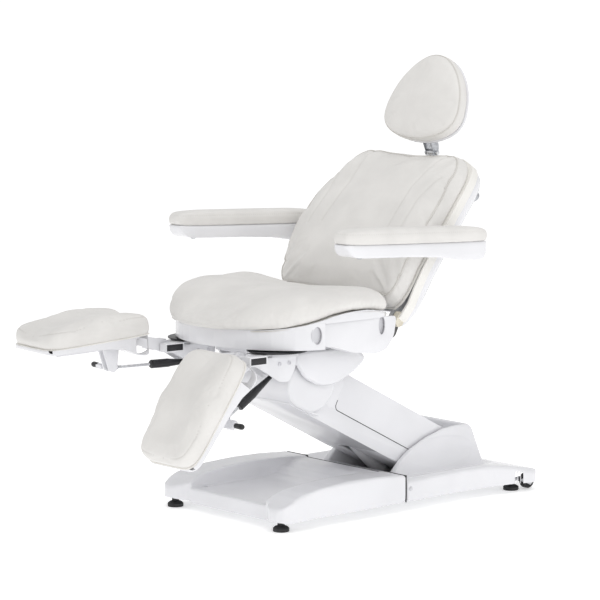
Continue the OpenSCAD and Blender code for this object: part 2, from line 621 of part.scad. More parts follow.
// Carriage, level at all heights
yoke_x = 96;
yoke_t = 9;
yoke_top = 476;
yoke_plate = 6;
bar_z = 446;
tilt_r = 12;
tilt_pin_r = 8;
tilt_ear_x = 122;
tilt_ear_t = 8;
seat_ear_x = 110;
yoke_back = 290;
tilt_foot = [262, 440];
tilt_head = [140, 492];
tilt_act_x = -45;
act_half = 11;
module carriage_yoke() color(steel) {
  difference() {
    union() {
      for (s = [-1, 1]) {
        x0 = s > 0 ? yoke_x : -yoke_x - yoke_t;
        across(soft([[head_y - ear_r, head_z], [head_y - ear_r * 0.5, head_z - ear_r],
          [head_y + ear_r * 0.5, head_z - ear_r],
          [head_y + ear_r * 2, head_z + ear_r], [yoke_back - over, yoke_top - yoke_plate * 6],
            [yoke_back - over, yoke_top - yoke_plate],
          [head_y - ear_r * 0.3, yoke_top - yoke_plate], [head_y - ear_r * 0.3, head_z + ear_r]],
            ear_r * 0.4), x0, x0 + yoke_t);
        x1 = s > 0 ? tilt_ear_x : -tilt_ear_x - tilt_ear_t;
        across([[yoke_back - ear_r, yoke_top - yoke_plate], [yoke_back - ear_r, yoke_top],
          [tilt_y - tilt_r, tilt_z + tilt_r * 0.5],
          [tilt_y, tilt_z - tilt_r], [yoke_back, yoke_top - yoke_plate * 3]], x1, x1 + tilt_ear_t);
        bar(tilt_r, x1, x1 + tilt_ear_t, tilt_y, tilt_z);
      }
      difference() {
        block([-tilt_ear_x - tilt_ear_t, head_y - ear_r * 0.3, yoke_top - yoke_plate],
          [tilt_ear_x + tilt_ear_t, yoke_back, yoke_top]);
        block([-yoke_x + yoke_t * 2, head_y - ear_r, 0], [yoke_x - yoke_t * 2, yoke_back * 2, yoke_top * 2]);
      }
      block([-yoke_x - over, yoke_back - yoke_plate * 2, bar_z], [yoke_x + over, yoke_back - over * 2,
        bar_z + yoke_plate]);
      // wings that carry the carriage cover
      for (s = [-1, 1]) block([min(s * tilt_ear_x, s * (carriage_half - cover_t)), head_y + ear_r,
        yoke_top - yoke_plate],
        [max(s * tilt_ear_x, s * (carriage_half - cover_t)), yoke_back, yoke_top]);
    }
    bar(shaft_r, -yoke_x * 2, yoke_x * 2, head_y, head_z);
    bar(tilt_pin_r, -tilt_ear_x * 2, tilt_ear_x * 2, tilt_y, tilt_z);
  }
  // bracket and pin of the parallel link, left open at this end
  lug_x = link_x + link_t / 2 + cheek_gap;
  across([[head_y - link_r, head_z - link_drop], [head_y + link_r, head_z - link_drop],
    [head_y + link_r * 2, head_z - link_drop + ear_r],
    [head_y + ear_r * 2.6, yoke_top - yoke_plate], [head_y + ear_r * 1.4, yoke_top - yoke_plate],
      [head_y + shaft_r + link_r * 0.5, head_z],
    [head_y - link_r, head_z - link_drop + link_r]], lug_x, lug_x + lug_t);
  bar(link_pin_r, link_x - link_t / 2 - cheek_gap / 2, lug_x, head_y, head_z - link_drop);
  block([lug_x, head_y + ear_r * 1.4, yoke_top - yoke_plate], [yoke_x - yoke_t * 2 + over,
    head_y + ear_r * 2.6, yoke_top]);
  // foot of the tilt drive
  for (k = [-1, 1]) lug_side(tilt_act_x + k * (act_half + lug_t / 2 + cheek_gap / 3), tilt_foot, eye_r * 0.8);
  bar(eye_pin_r, tilt_act_x - act_half - cheek_gap / 3, tilt_act_x + act_half + cheek_gap / 3,
    tilt_foot[0], tilt_foot[1]);
}
module lug_side(x, p, r) {
  across([[p[0], p[1] - r], [yoke_back - yoke_plate, bar_z], [yoke_back - yoke_plate,
    bar_z + yoke_plate - over], [p[0], p[1] + r]],
    x - lug_t / 2, x + lug_t / 2);
  bar(r, x - lug_t / 2, x + lug_t / 2, p[0], p[1]);
}
module carriage_shaft() color(steel) {
  bar(shaft_r, -yoke_x - yoke_t - wall, yoke_x + yoke_t + wall, head_y, head_z);
  for (s = [-1, 1]) bar(tilt_pin_r, min(s * (seat_ear_x - over), s * (tilt_ear_x + tilt_ear_t)),
    max(s * (seat_ear_x - over), s * (tilt_ear_x + tilt_ear_t)), tilt_y, tilt_z);
}

carriage_half = 175;
// Outline of the carriage cover from its front edge to its rear edge
carriage_shares = [[0, 1], [0, 0.85], [0.03, 0.68], [0.14, 0.29], [0.34, 0.03], [0.5, 0], [0.62, 0.05],
  [0.84, 0.3],
  [0.99, 0.55], [1, 0.7], [0.86, 0.9], [0.8, 1]];
carriage_front = 101;
carriage_len = 256;
carriage_low = 367;
module carriage_cover() color(white) {
  outer = soft(fit(carriage_shares, carriage_front, carriage_len, carriage_low,
    yoke_top - yoke_plate - carriage_low), wall * 3);
  across_both(outer, carriage_half - cover_t, carriage_half);
  // front apron joining the cheeks
  block([-carriage_half + cover_t, carriage_front, yoke_top - ear_r * 1.3], [carriage_half - cover_t,
    carriage_front + cover_t, yoke_top - yoke_plate]);
  for (s = [-1, 1]) side_block(s, [tilt_ear_x + tilt_ear_t + over, carriage_half - cover_t + over],
    [carriage_front + cover_t - over, yoke_back],
    [yoke_top - yoke_plate - cover_t, yoke_top - yoke_plate]);
}

// Drives: a tube and rod between two pivots, drawn along -Y from the foot pivot
module drive_tube(len, r, eye_w) {
  difference() {
    union() {
      translate([0, -eye_r * 1.4, 0]) rotate([90, 0, 0]) rotate_extrude()
        polygon([[0, 0], [r * 0.7, 0], [r, r * 0.4], [r, len - eye_r * 1.4 - r * 0.3], [r * 0.8,
          len - eye_r * 1.4], [0, len - eye_r * 1.4]]);
      bar(eye_r, -eye_w, eye_w, 0, 0);
      block([-eye_w, -eye_r * 1.6, -eye_r * 0.6], [eye_w, 0, eye_r * 0.6]);
    }
    bar(eye_pin_r + run_fit, -eye_w * 2, eye_w * 2, 0, 0);
    translate([0, -len * 0.16, 0]) rotate([90, 0, 0]) cylinder(r = r * 0.4 + run_fit, h = len);
  }
}
module drive_rod(len, tube, r, eye_w, hole) {
  translate([0, -tube * 0.4, 0]) rotate([90, 0, 0]) cylinder(r = r, h = len - tube * 0.4 - hole);
  difference() {
    bar(hole + eye_r * 0.5, -eye_w, eye_w, -len, 0);
    bar(hole, -eye_w * 2, eye_w * 2, -len, 0);
  }
}
function slope(a, b) = atan2(b[1] - a[1], -(b[0] - a[0]));
module drive(a, b, x) {
  translate([x, a[0], a[1]]) rotate([-slope(a, b), 0, 0]) children();
}
lift_foot = [lift_foot_y, lift_foot_z];
lift_crank = [lift_y - crank_s * cos(arm_angle) + crank_h * sin(arm_angle),
  lift_z + crank_s * sin(arm_angle) + crank_h * cos(arm_angle)];
lift_reach = norm(lift_crank - lift_foot);
lift_r = 24;
lift_tube_len = 225;
module lift_tube() color(dark) drive(lift_foot, lift_crank, act_x) {
  difference() {
    union() {
      translate([0, -eye_r * 1.6, 0]) rotate([90, 0, 0]) rotate_extrude()
        polygon([[0, 0], [lift_r * 0.8, 0], [lift_r, lift_r * 0.2], [lift_r, lift_tube_len - eye_r * 2],
          [lift_r * 0.7, lift_tube_len - eye_r * 1.6], [0, lift_tube_len - eye_r * 1.6]]);
      for (s = [-1, 1]) {
        x0 = s > 0 ? lug_t / 2 + cheek_gap / 3 : -lug_t - lug_t / 2 - cheek_gap / 3;
        bar(eye_r, x0, x0 + lug_t, 0, 0);
        block([x0, -eye_r * 2, -eye_r * 0.7], [x0 + lug_t, 0, eye_r * 0.7]);
      }
    }
    bar(eye_pin_r + run_fit, -lift_r * 2, lift_r * 2, 0, 0);
    translate([0, -lift_tube_len * 0.22, 0]) rotate([90, 0, 0]) cylinder(r = lift_r * 0.5 + run_fit,
      h = lift_tube_len);
  }
}
lift_hole = 5;
module lift_rod() color(steel) drive(lift_foot, lift_crank, act_x) {
  translate([0, -lift_tube_len * 0.35, 0]) rotate([90, 0, 0]) cylinder(r = lift_r * 0.5,
    h = lift_reach - lift_tube_len * 0.35 - eye_r * 0.5);
  bar(eye_r, -lug_t, lug_t, -lift_reach, 0);
}
tilt_reach = norm(tilt_head - tilt_foot);
tilt_tube_len = 96;
tilt_drive_r = 16;
rod_hole = 7;
module tilt_tube() color(dark) drive(tilt_foot, tilt_head, tilt_act_x) drive_tube(tilt_tube_len,
  tilt_drive_r, act_half);
module tilt_rod() color(steel) drive(tilt_foot, tilt_head, tilt_act_x) drive_rod(tilt_reach, tilt_tube_len,
  tilt_drive_r * 0.4, act_half, rod_hole);
back_foot = [262, 478];
back_act_x = 45;
back_crank = [30, -62];
back_head = [recline_y + back_crank[0] * cos(back_angle) - back_crank[1] * sin(back_angle),
  recline_z + back_crank[0] * sin(back_angle) + back_crank[1] * cos(back_angle)];
back_reach = norm(back_head - back_foot);
back_tube_len = 150;
back_drive_r = 15;
back_hole = 11.5;
module back_tube() color(dark) drive(back_foot, back_head, back_act_x) drive_tube(back_tube_len,
  back_drive_r, act_half);
module back_rod() color(steel) drive(back_foot, back_head, back_act_x) drive_rod(back_reach, back_tube_len,
  back_drive_r * 0.4, act_half, back_hole);

// Seat
seat_mid = 140;
seat_back = 345;
// Height of the seam over the underside of the shell, from the front of the shell to its rear
seam_shares = [[0, 0.52], [0.19, 0.6], [0.31, 0.7], [0.42, 0.82], [0.52, 0.93], [0.65, 0.99], [0.8, 1],
  [0.9, 0.93], [1, 0.82], [1.3, 0.7]];
seam_h = 96;
seat_span = seat_back + seat_front;
function seam_z(y) = shell_z + seam_h * lookup((y + seat_front) / seat_span, seam_shares);
// Plan of the seat: half oval in front, straight sides, rounded rear corners
function seat_plan(half, front, back, n) = concat(
  [for (i = [0 : n]) let (t = -90 + 90 * i / n) [half * cos(t), seat_mid + (seat_mid + front) * sin(t)]],
  [[half, seat_mid + (back - seat_mid) * 0.35], [half, seat_mid + (back - seat_mid) * 0.7], [half * 0.985,
    seat_mid + (back - seat_mid) * 0.88],
   [half * 0.93, back], [half * 0.6, back], [half * 0.25, back]]);
function whole(p) = concat([for (q = p) if (q[0] > 0.01 || q == p[0]) q],
  [for (i = [len(p) - 1 : -1 : 1]) [-p[i][0], p[i][1]]]);
frame_z = 500;
frame_t = 6;
frame_half = 226;
frame_back = 356;
module seat_frame() color(steel) difference() {
  union() {
    difference() {
      upright(soft([[-frame_half, frame_back], [-frame_half, seat_mid], [-leg_x * 1.1, -seat_front * 0.3],
        [leg_x * 1.1, -seat_front * 0.3],
        [frame_half, seat_mid], [frame_half, frame_back]], frame_half * 0.2), frame_z, frame_z + frame_t);
      block([back_act_x - back_drive_r * 1.5, yoke_back, 0], [back_act_x + back_drive_r * 1.5,
        frame_back * 2, frame_z * 2]);
    }
    for (s = [-1, 1]) {
      x0 = s > 0 ? seat_ear_x : -seat_ear_x - tilt_ear_t;
      across([[tilt_y - tilt_r * 2, frame_z + over], [tilt_y + tilt_r * 2, frame_z + over],
        [tilt_y + tilt_r * 0.8, tilt_z], [tilt_y - tilt_r * 0.8, tilt_z]], x0, x0 + tilt_ear_t);
      bar(tilt_r, x0, x0 + tilt_ear_t, tilt_y, tilt_z);
      // rear cross tube, carrying the hinge brackets
      block([min(s * frame_half, s * back_act_x * 1.8), frame_back - ear_r, frame_z + frame_t - over],
        [max(s * frame_half, s * back_act_x * 1.8), frame_back, frame_z + ear_r]);
    }
    for (k = [-1, 1]) {
      x1 = tilt_act_x + k * (act_half + lug_t / 2 + cheek_gap / 3);
      lug_down(x1, tilt_head, eye_r * 0.7);
      x2 = back_act_x + k * (act_half + lug_t / 2 + cheek_gap / 3);
      lug_down(x2, back_foot, eye_r * 0.8);
    }
    bar(eye_pin_r * 0.9, tilt_act_x - act_half - cheek_gap / 3, tilt_act_x + act_half + cheek_gap / 3,
      tilt_head[0], tilt_head[1]);
    bar(eye_pin_r, back_act_x - act_half - cheek_gap / 3, back_act_x + act_half + cheek_gap / 3,
      back_foot[0], back_foot[1]);
  }
  bar(tilt_pin_r + run_fit, -frame_half * 2, frame_half * 2, tilt_y, tilt_z);
  block([tilt_act_x - act_half - cheek_gap / 3, tilt_head[0] - eye_r * 2.2, frame_z - over],
    [tilt_act_x + act_half + cheek_gap / 3, tilt_head[0] + eye_r * 2, frame_z * 2]);
}
module lug_down(x, p, r) {
  across([[p[0] - r * 1.6, frame_z + over], [p[0] + r * 1.6, frame_z + over], [p[0] + r * 0.8, p[1]],
    [p[0] - r * 0.8, p[1]]], x - lug_t / 2, x + lug_t / 2);
  bar(r, x - lug_t / 2, x + lug_t / 2, p[0], p[1]);
}

spacer_r = 32;
module seat_side_profile(w) {
  top = [for (k = [0 : 12]) let (y = -seat_front - nose_len + (seat_span + nose_len * 2) * k / 12) [y,
    seam_z(y) - w]];
  across(concat(top, [[seat_back * 1.2, shell_z + w], [-seat_front * 2, shell_z + w]]), -seat_half * 1.2,
    seat_half * 1.2);
}
rim_drop = 26;
panel_in = 9;
module seat_shell() color(white) difference() {
  intersection() {
    seat_side_profile(0);
    upright(soft(whole(seat_plan(seat_half, seat_front, seat_back, 12)), wall), shell_z, shell_z * 2);
  }
  difference() {
    upright(whole(seat_plan(seat_half - wall, seat_front - wall, seat_back - wall, 12)), shell_z + wall,
      shell_z * 2);
    // inner rim under the seam at the sides
  }
  // opening underneath for the carriage
  block([-carriage_half - wall, carriage_front - nose_len, 0], [carriage_half + wall, seat_back * 2,
    shell_z + wall * 2]);
  block([-carriage_half - wall, seat_back - wall * 3, 0], [carriage_half + wall, seat_back * 2,
    shell_z + seam_h * 0.5]);
  // the sides below the rim are left to the recessed side covers
  for (s = [-1, 1]) block([min(s * (carriage_half + wall), s * seat_half * 2), seat_mid - nose_len * 1.2, 0],
    [max(s * (carriage_half + wall), s * seat_half * 2), seat_back * 2, shell_z + seam_h - rim_drop]);
  for (s = [-1, 1]) translate([s * leg_x, swivel_y, 0]) cylinder(r = spacer_r + slide_fit, h = shell_z * 2);
}
// Lower outline of a side cover from its front end to its rear end
side_cover_shares = [[0, 0.36], [0.16, 0.31], [0.4, 0.1], [0.72, 0], [0.86, 0.08], [0.97, 0.44], [1, 0.9],
  [0.98, 1], [0.0, 1]];
side_cover_y = 107;
side_cover_len = 264;
side_cover_low = 461;
side_cover_in = 205;
module seat_side_cover(s) color(white) {
  top = shell_z + seam_h - rim_drop;
  outer = soft(fit(side_cover_shares, side_cover_y, side_cover_len, side_cover_low,
    top - soft_gap - side_cover_low), wall * 3);
  xo = seat_half - panel_in;
  difference() {
    across(outer, s > 0 ? side_cover_in : -xo, s > 0 ? xo : -side_cover_in);
    across(drawn_in(outer, [seat_mid * 1.7, top - rim_drop], wall), s > 0 ? 0 : -xo + wall,
      s > 0 ? xo - wall : 0);
    side_block(s, [0, frame_half + over], [0, seat_back * 2], [frame_z - over, frame_z + frame_t + over]);
    side_block(s, [0, frame_half + over], [frame_back - ear_r - over, seat_back * 2], [frame_z - wall * 2,
      frame_z * 2]);
    if (s > 0) block([0, 0, top - wall * 3], [xo - wall, seat_back * 2, top * 2]);
    else block([-xo + wall, 0, top - wall * 3], [0, seat_back * 2, top * 2]);
  }
}
module seat_side_cover_left() seat_side_cover(1);
module seat_side_cover_right() seat_side_cover(-1);

cushion_half = 295;
cushion_front = 108;
cushion_back = 350;
// Crown of the cushion from front to rear, as a share of its thickness
crown_shares = [[0, 0.36], [0.06, 0.5], [0.15, 0.76], [0.23, 0.96], [0.33, 1.03], [0.45, 0.92], [0.58,
  0.76], [0.72, 0.66],
  [0.85, 0.61], [0.94, 0.54], [1, 0.44]];
cushion_span = cushion_back + cushion_front;
hollow = 16;
function seat_crown(x, y) = seam_z(y) + soft_gap + seat_pad_t * lookup((y + cushion_front) / cushion_span,
  crown_shares)
  - hollow * pow(cos(90 * min(1, abs(x) / cushion_half)), 2);
module seat_cushion() color(cloth) {
  plan = whole(seat_plan(cushion_half, cushion_front, cushion_back, 14));
  low = function(x, y) seam_z(y) + soft_gap;
  high = function(x, y) seat_crown(x, y);
  padded(plan, [0, seat_mid], [[0.3, 0], [0.6, 0], [0.85, 0], [0.94, 0.02], [0.965, 0.1], [0.99, 0.25], [1,
    0.42], [0.992, 0.6], [0.965, 0.76],
    [0.92, 0.88], [0.85, 0.95], [0.74, 0.985], [0.6, 1], [0.42, 1], [0.22, 1]], low, high);
}

disc_r = 83;
disc_t = 4;
disc_z = 482;
swivel_pin_r = 11;
swivel_pin_len = 26;
block_top = 480;
module swivel_plates() color(dark) for (s = [-1, 1]) translate([s * leg_x, swivel_y, 0]) {
  translate([0, 0, disc_z]) cylinder(r = disc_r, h = disc_t, $fn = 96);
  translate([0, 0, disc_z + disc_t]) cylinder(r = spacer_r, h = frame_z - disc_z - disc_t);
  translate([0, 0, block_top - swivel_pin_len]) cylinder(r = swivel_pin_r,
    h = disc_z - block_top + swivel_pin_len);
}

hinge_x = 207;
hinge_t = 12;
hinge_pin_r = 10;
hinge_r = 17;
module back_hinge_brackets() color([0.3, 0.3, 0.32]) for (s = [-1, 1]) {
  x0 = s > 0 ? hinge_x : -hinge_x - hinge_t;
  across(soft([[frame_back, frame_z + over], [frame_back, frame_z + ear_r], [recline_y - hinge_r,
    recline_z + hinge_r], [recline_y + hinge_r, recline_z + hinge_r],
    [recline_y + hinge_r, recline_z - hinge_r * 0.4], [recline_y, recline_z - hinge_r * 2.4],
      [recline_y - hinge_r * 2, recline_z - hinge_r * 2.6]], hinge_r * 0.7), x0, x0 + hinge_t);
  bar(hinge_pin_r, s > 0 ? hinge_x - hinge_t - over : -hinge_x,
    s > 0 ? hinge_x : -hinge_x + hinge_t + over, recline_y, recline_z);
}

// Back, drawn lying flat with its pivot at the origin and turned up
// Front face, seam and rear of the shell along the length, as shares of the length and of the pad thickness
back_low = 32;
back_seam_shares = [[0, 0.25], [0.1, 0.42], [0.25, 0.58], [0.42, 0.58], [0.6, 0.36], [0.72, 0.14], [0.85,
  -0.14], [1, -0.46], [1.2, -0.7]];
function back_seam(y) = back_pad_t * lookup((y - back_low) / back_len, back_seam_shares);
// Half width of the back along its length
back_width_shares = [[0, 0.8], [0.05, 0.9], [0.12, 0.945], [0.3, 0.985], [0.42, 1], [0.6, 0.975], [0.75,
  0.925], [0.86, 0.87], [0.93, 0.8], [0.975, 0.7], [1, 0.56]];
function back_w(t) = back_half * lookup(t, back_width_shares);
back_depth_shares = [[0, 0.6], [0.2, 0.95], [0.5, 1], [0.85, 1], [0.95, 0.8], [1, 0.5]];
back_depth = 88;
// A cross section of the pad at the share t of the length, widened by g
function pad_section(t, y) = let (w = back_w(t), z = back_seam(y) + soft_gap, h = back_pad_t)
  concat([for (s = pad_edge_shares) [w * s[0], y, z + h * s[1]]],
    [for (k = [1 : 11]) let (x = w * (1 - k / 6) * 0.9) [x, y, z + h * (1 + crown_rise * (1 - pow(x / w,
      2)) - channel(x / w, t))]],
    [for (i = [len(pad_edge_shares) - 1 : -1 : 0]) let (s = pad_edge_shares[i]) [-w * s[0], y,
      z + h * s[1]]]);
pad_edge_shares = [[0.55, 0], [0.93, 0], [0.985, 0.06], [1, 0.3], [1, 0.6], [0.985, 0.82], [0.955, 0.94]];
crown_rise = 0.06;
channel_share = 0.05;
function channel(u, t) = channel_share * (abs(abs(u) - 0.5) < 0.09 ? 1 : 0);
back_end_shares = [[0, 0.35], [0.008, 0.62], [0.025, 0.85], [0.06, 1]];
module back_cushion() color(cloth) in_back() {
  stations = [0.0, 0.012, 0.04, 0.09, 0.16, 0.25, 0.34, 0.43, 0.52, 0.61, 0.7, 0.78, 0.85, 0.9, 0.94, 0.97,
    0.99, 1];
  puff = function(t) lookup(min(t, 1 - t), [[0, 0.6], [0.012, 0.84], [0.04, 0.97], [0.09, 1]]);
  rings = [for (t = stations) let (y = back_low + back_len * t, dip = top_dip * lookup(t, [[0.85, 0], [1,
    1]]),
      p = pad_section(t, y), z = back_seam(y) + soft_gap)
    [for (q = p) [q[0], q[1] - dip * (1 - min(1, abs(q[0]) / (back_half * 0.5))), z + (q[2] - z) * puff(t)]]];
  mid_z = back_pad_t * 0.3;
  skin(turned(rings), [0, back_low - over, back_seam(back_low) + mid_z], [0, back_low + back_len - top_dip,
    back_seam(back_low + back_len) + mid_z]);
}
top_dip = 12;

// A cross section of the shell, w inside the outer face
function shell_section(t, y, w, z1) = let (h = back_w(t) * 1.02 - w, z0 = back_seam(y),
  d = back_depth * lookup(t, back_depth_shares))
  [[h, y, z1 ? z0 + over : z0], [h, y, z0 - d * 0.42 + w * 0.5], [h * 0.965, y, z0 - d * 0.66 + w],
    [h * 0.88, y, z0 - d * 0.86 + w], [h * 0.72, y, z0 - d * 0.96 + w], [h * 0.4, y, z0 - d + w],
   [0, y, z0 - d + w],
   [-h * 0.4, y, z0 - d + w], [-h * 0.72, y, z0 - d * 0.96 + w], [-h * 0.88, y, z0 - d * 0.86 + w],
     [-h * 0.965, y, z0 - d * 0.66 + w], [-h, y, z0 - d * 0.42 + w * 0.5], [-h, y, z1 ? z0 + over : z0],
   [-h * 0.6, y, z1 ? z0 + over : z0], [0, y, z1 ? z0 + over : z0], [h * 0.6, y, z1 ? z0 + over : z0]];
shell_low = -14;
module back_shell_form(w, lift) {
  stations = [0, 0.05, 0.12, 0.2, 0.3, 0.4, 0.5, 0.6, 0.7, 0.8, 0.87, 0.93, 0.97, 1];
  y0 = shell_low + w;
  len = back_low + back_len - shell_low + wall - w * 2;
  rings = [for (t = stations) shell_section(t, y0 + len * t, w, lift)];
  m = len(rings) - 1;
  z0 = back_seam(y0);
  z1 = back_seam(y0 + len);
  skin(rings, [0, y0, z0 - back_depth * 0.2], [0, y0 + len, z1 - back_depth * 0.2]);
}
module back_shell() color(white) in_back() difference() {
  back_shell_form(0, false);
  back_shell_form(wall, true);
  // opening at the lower end for the hinge and the drive
  block([-hinge_x - hinge_t - wall * 2, shell_low - over, -back_depth * 2], [hinge_x + hinge_t + wall * 2,
    back_low * 1.6, back_depth]);
  for (s = [-1, 1]) gusset_form(s, soft_gap);
  // holes of the armrest pivots, the headrest post and its knob
  translate([knob_x, knob_s, -back_depth * 2]) cylinder(r = stem_r + run_fit,
    h = back_depth * 2 + back_seam(knob_s));
  block([-post_w / 2 - over, post_s, post_z - post_t / 2 - over], [post_w / 2 + over, back_len * 2,
    post_z + post_t / 2 + over]);
  bar(armrest_pin_r + over, -back_half * 1.2, back_half * 1.2, pivot_s, pivot_h);
}
pivot_s = 244;
pivot_h = 6;
armrest_pin_r = 14;
hub_r = 25;
panel_t = 5;
panel_half = 188;
panel_drop = 12;
post_s = 330;
post_w = 26;
post_t = 12;
post_z = -42;
sleeve_t = 3;
module back_frame() color(steel) in_back() {
  top = [for (k = [0 : 10]) let (y = back_low * 1.8 + back_len * 0.86 * k / 10) [y,
    back_seam(y) - panel_drop]];
  low = [for (k = [10 : -1 : 0]) [top[k][0], top[k][1] - panel_t]];
  difference() {
    union() {
      difference() {
        across(concat(top, low), -panel_half, panel_half);
        bar(armrest_pin_r, -panel_half * 2, panel_half * 2, pivot_s, pivot_h);
      }
      // hinge arms beside the seat brackets
      for (s = [-1, 1]) {
        x0 = s > 0 ? hinge_x - hinge_t - cheek_gap / 3 : -hinge_x + cheek_gap / 3;
        across(soft([[-hinge_r * 0.8, -hinge_r * 0.6], [-hinge_r * 0.8, hinge_r * 0.7], [back_low * 2,
          back_seam(back_low * 2) - panel_drop],
          [back_low * 5, back_seam(back_low * 5) - panel_drop - over], [back_low * 4, -hinge_r], [0,
            -hinge_r]], hinge_r * 0.4), x0, x0 + hinge_t);
      }
      // tube of the armrest pivots
      bar(armrest_pin_r, -armrest_x - armrest_w * 0.3, armrest_x + armrest_w * 0.3, pivot_s, pivot_h);
      for (s = [-1, 1]) bar(hub_r, s > 0 ? back_half * 1.025 : -armrest_x + armrest_w / 2 + cheek_gap / 3,
        s > 0 ? armrest_x - armrest_w / 2 - cheek_gap / 3 : -back_half * 1.025, pivot_s, pivot_h);
      // sleeve of the headrest post
      block([-post_w / 2 - sleeve_t, post_s, post_z - post_t / 2 - sleeve_t], [post_w / 2 + sleeve_t,
        back_low + back_len - top_dip - wall * 3, post_z + post_t / 2 + sleeve_t]);
      block([-post_w, post_s, post_z + post_t / 2], [post_w, post_s + hub_r,
        back_seam(post_s) - panel_drop - panel_t * 0.5]);
      // crank of the recline drive
      for (k = [-1, 1]) {
        x = back_act_x + k * (act_half + lug_t / 2 + cheek_gap / 3);
        across([[back_crank[0] - eye_r * 0.7, back_crank[1]], [back_crank[0] + eye_r * 0.7, back_crank[1]],
          [back_low * 1.4, back_crank[1] / 2], [back_low * 4,
            back_seam(back_low * 4) - panel_drop - panel_t * 0.5],
          [back_low * 2, back_seam(back_low * 2) - panel_drop - panel_t * 0.5]], x - lug_t / 2,
            x + lug_t / 2);
        bar(eye_r * 0.7, x - lug_t / 2, x + lug_t / 2, back_crank[0], back_crank[1]);
      }
      bar(eye_pin_r, back_act_x - act_half - cheek_gap, back_act_x + act_half + cheek_gap, back_crank[0],
        back_crank[1]);
    }
    bar(hinge_pin_r + run_fit, -hinge_x, hinge_x, 0, 0);
    block([-post_w / 2 - slide_fit, post_s - over, post_z - post_t / 2 - slide_fit],
      [post_w / 2 + slide_fit, back_len * 2, post_z + post_t / 2 + slide_fit]);
  }
}
knob_s = 470;
knob_x = 168;
stem_r = 5;
knob_r = 15;
knob_t = 18;
module headrest_knob() color(dark) in_back() translate([knob_x, knob_s, 0]) {
  z = back_seam(knob_s) - back_depth * 0.96;
  translate([0, 0, z - knob_t / 3 * 4]) rotate_extrude() polygon(soft([[0, 0], [knob_r - wall / 2, 0],
    [knob_r, wall * 0.75],
    [knob_r, wall * 3], [knob_r * 0.6, wall * 4], [stem_r, knob_t], [stem_r, knob_t * 2], [0, knob_t * 2]],
      over));
}
module gusset_form(s, gap) {
  side_across(s, drawn_in(soft([[back_low * 0.9, back_pad_t * 0.32], [back_low * 0.9, -hinge_r * 0.2], [0,
    -hinge_r * 0.6],
    [-hinge_r * 0.8, 0], [-hinge_r * 0.5, back_pad_t * 0.32]], hinge_r * 0.4), [hinge_r * 0.5,
      hinge_r * 0.2], -gap),
    hinge_x + hinge_t + wall - gap, back_half * 0.9 + gap);
}
module back_gussets() color([0.86, 0.84, 0.78]) in_back() for (s = [-1, 1]) gusset_form(s, 0);

// Armrests, drawn level about their pivot
armrest_back = 72;
armrest_seam = 24;
armrest_deep = 52;
module in_armrest(s) {
  in_back() translate([s * armrest_x, pivot_s, pivot_h]) rotate([-back_angle - armrest_angle, 0,
    0]) children();
}
armrest_low_shares = [[0.03, 0.35], [0.06, 0.05], [0.12, 0], [0.45, -0.03], [0.66, -0.14], [0.8, -0.4],
  [0.88, -0.46], [0.95, -0.4], [0.99, 0.1], [1, 1], [0, 1]];
module armrest_plan(w, z0, z1) {
  r = armrest_w / 2 - w;
  upright(soft([[-r, -armrest_len + armrest_back + w], [r, -armrest_len + armrest_back + w], [r,
    armrest_back - w], [-r, armrest_back - w]], r * 0.95), z0, z1);
}
module armrest_cover(s) color(white) in_armrest(s) difference() {
  intersection() {
    armrest_plan(over, -armrest_w * 2, armrest_w);
    across(soft(fit(armrest_low_shares, armrest_back - armrest_len, armrest_len,
      armrest_seam - armrest_cover_t, armrest_cover_t), wall * 3), -armrest_w, armrest_w);
    lengthwise(soft([[-armrest_w / 2, armrest_seam + over], [-armrest_w / 2, -armrest_cover_t * 0.2],
      [-armrest_w * 0.36, -armrest_deep], [armrest_w * 0.36, -armrest_deep],
      [armrest_w / 2, -armrest_cover_t * 0.2], [armrest_w / 2, armrest_seam + over]], wall * 4),
        -armrest_len * 2, armrest_len * 2);
  }
  bar(armrest_pin_r + run_fit, s > 0 ? -armrest_w : -armrest_w * 0.35, s > 0 ? armrest_w * 0.35 : armrest_w);
  translate([0, button_y, -armrest_deep * 2]) cylinder(d = button_d + slide_fit * 2,
    h = armrest_deep * 2 + armrest_seam * 0.4);
}
button_y = -387;
button_d = 16;
button_out = 4;
module armrest_button(s) color(painted) in_armrest(s) translate([0, button_y,
  armrest_seam - armrest_cover_t - button_out])
  rotate_extrude() polygon(soft([[0, 0], [button_d * 0.4, 0], [button_d / 2, button_d * 0.1],
    [button_d / 2, armrest_cover_t * 0.4], [0, armrest_cover_t * 0.4]], over));
module armrest_pad(s) color(cloth) in_armrest(s) {
  n = 40;
  plan = [for (q = oval(armrest_w / 2, armrest_len / 2, n, 0.32)) [q[0],
    q[1] + armrest_back - armrest_len / 2]];
  low = function(x, y) armrest_seam;
  high = function(x, y) armrest_seam + armrest_pad_t;
  padded(plan, [0, armrest_back - armrest_len / 2], [[0.5, 0], [0.955, 0], [0.985, 0.08], [1, 0.3], [1,
    0.55], [0.985, 0.75], [0.94, 0.92], [0.86, 0.985], [0.5, 1]], low, high);
}
module armrest_cover_left() armrest_cover(1);
module armrest_cover_right() armrest_cover(-1);
module armrest_pad_left() armrest_pad(1);
module armrest_pad_right() armrest_pad(-1);
module armrest_button_left() armrest_button(1);
module armrest_button_right() armrest_button(-1);

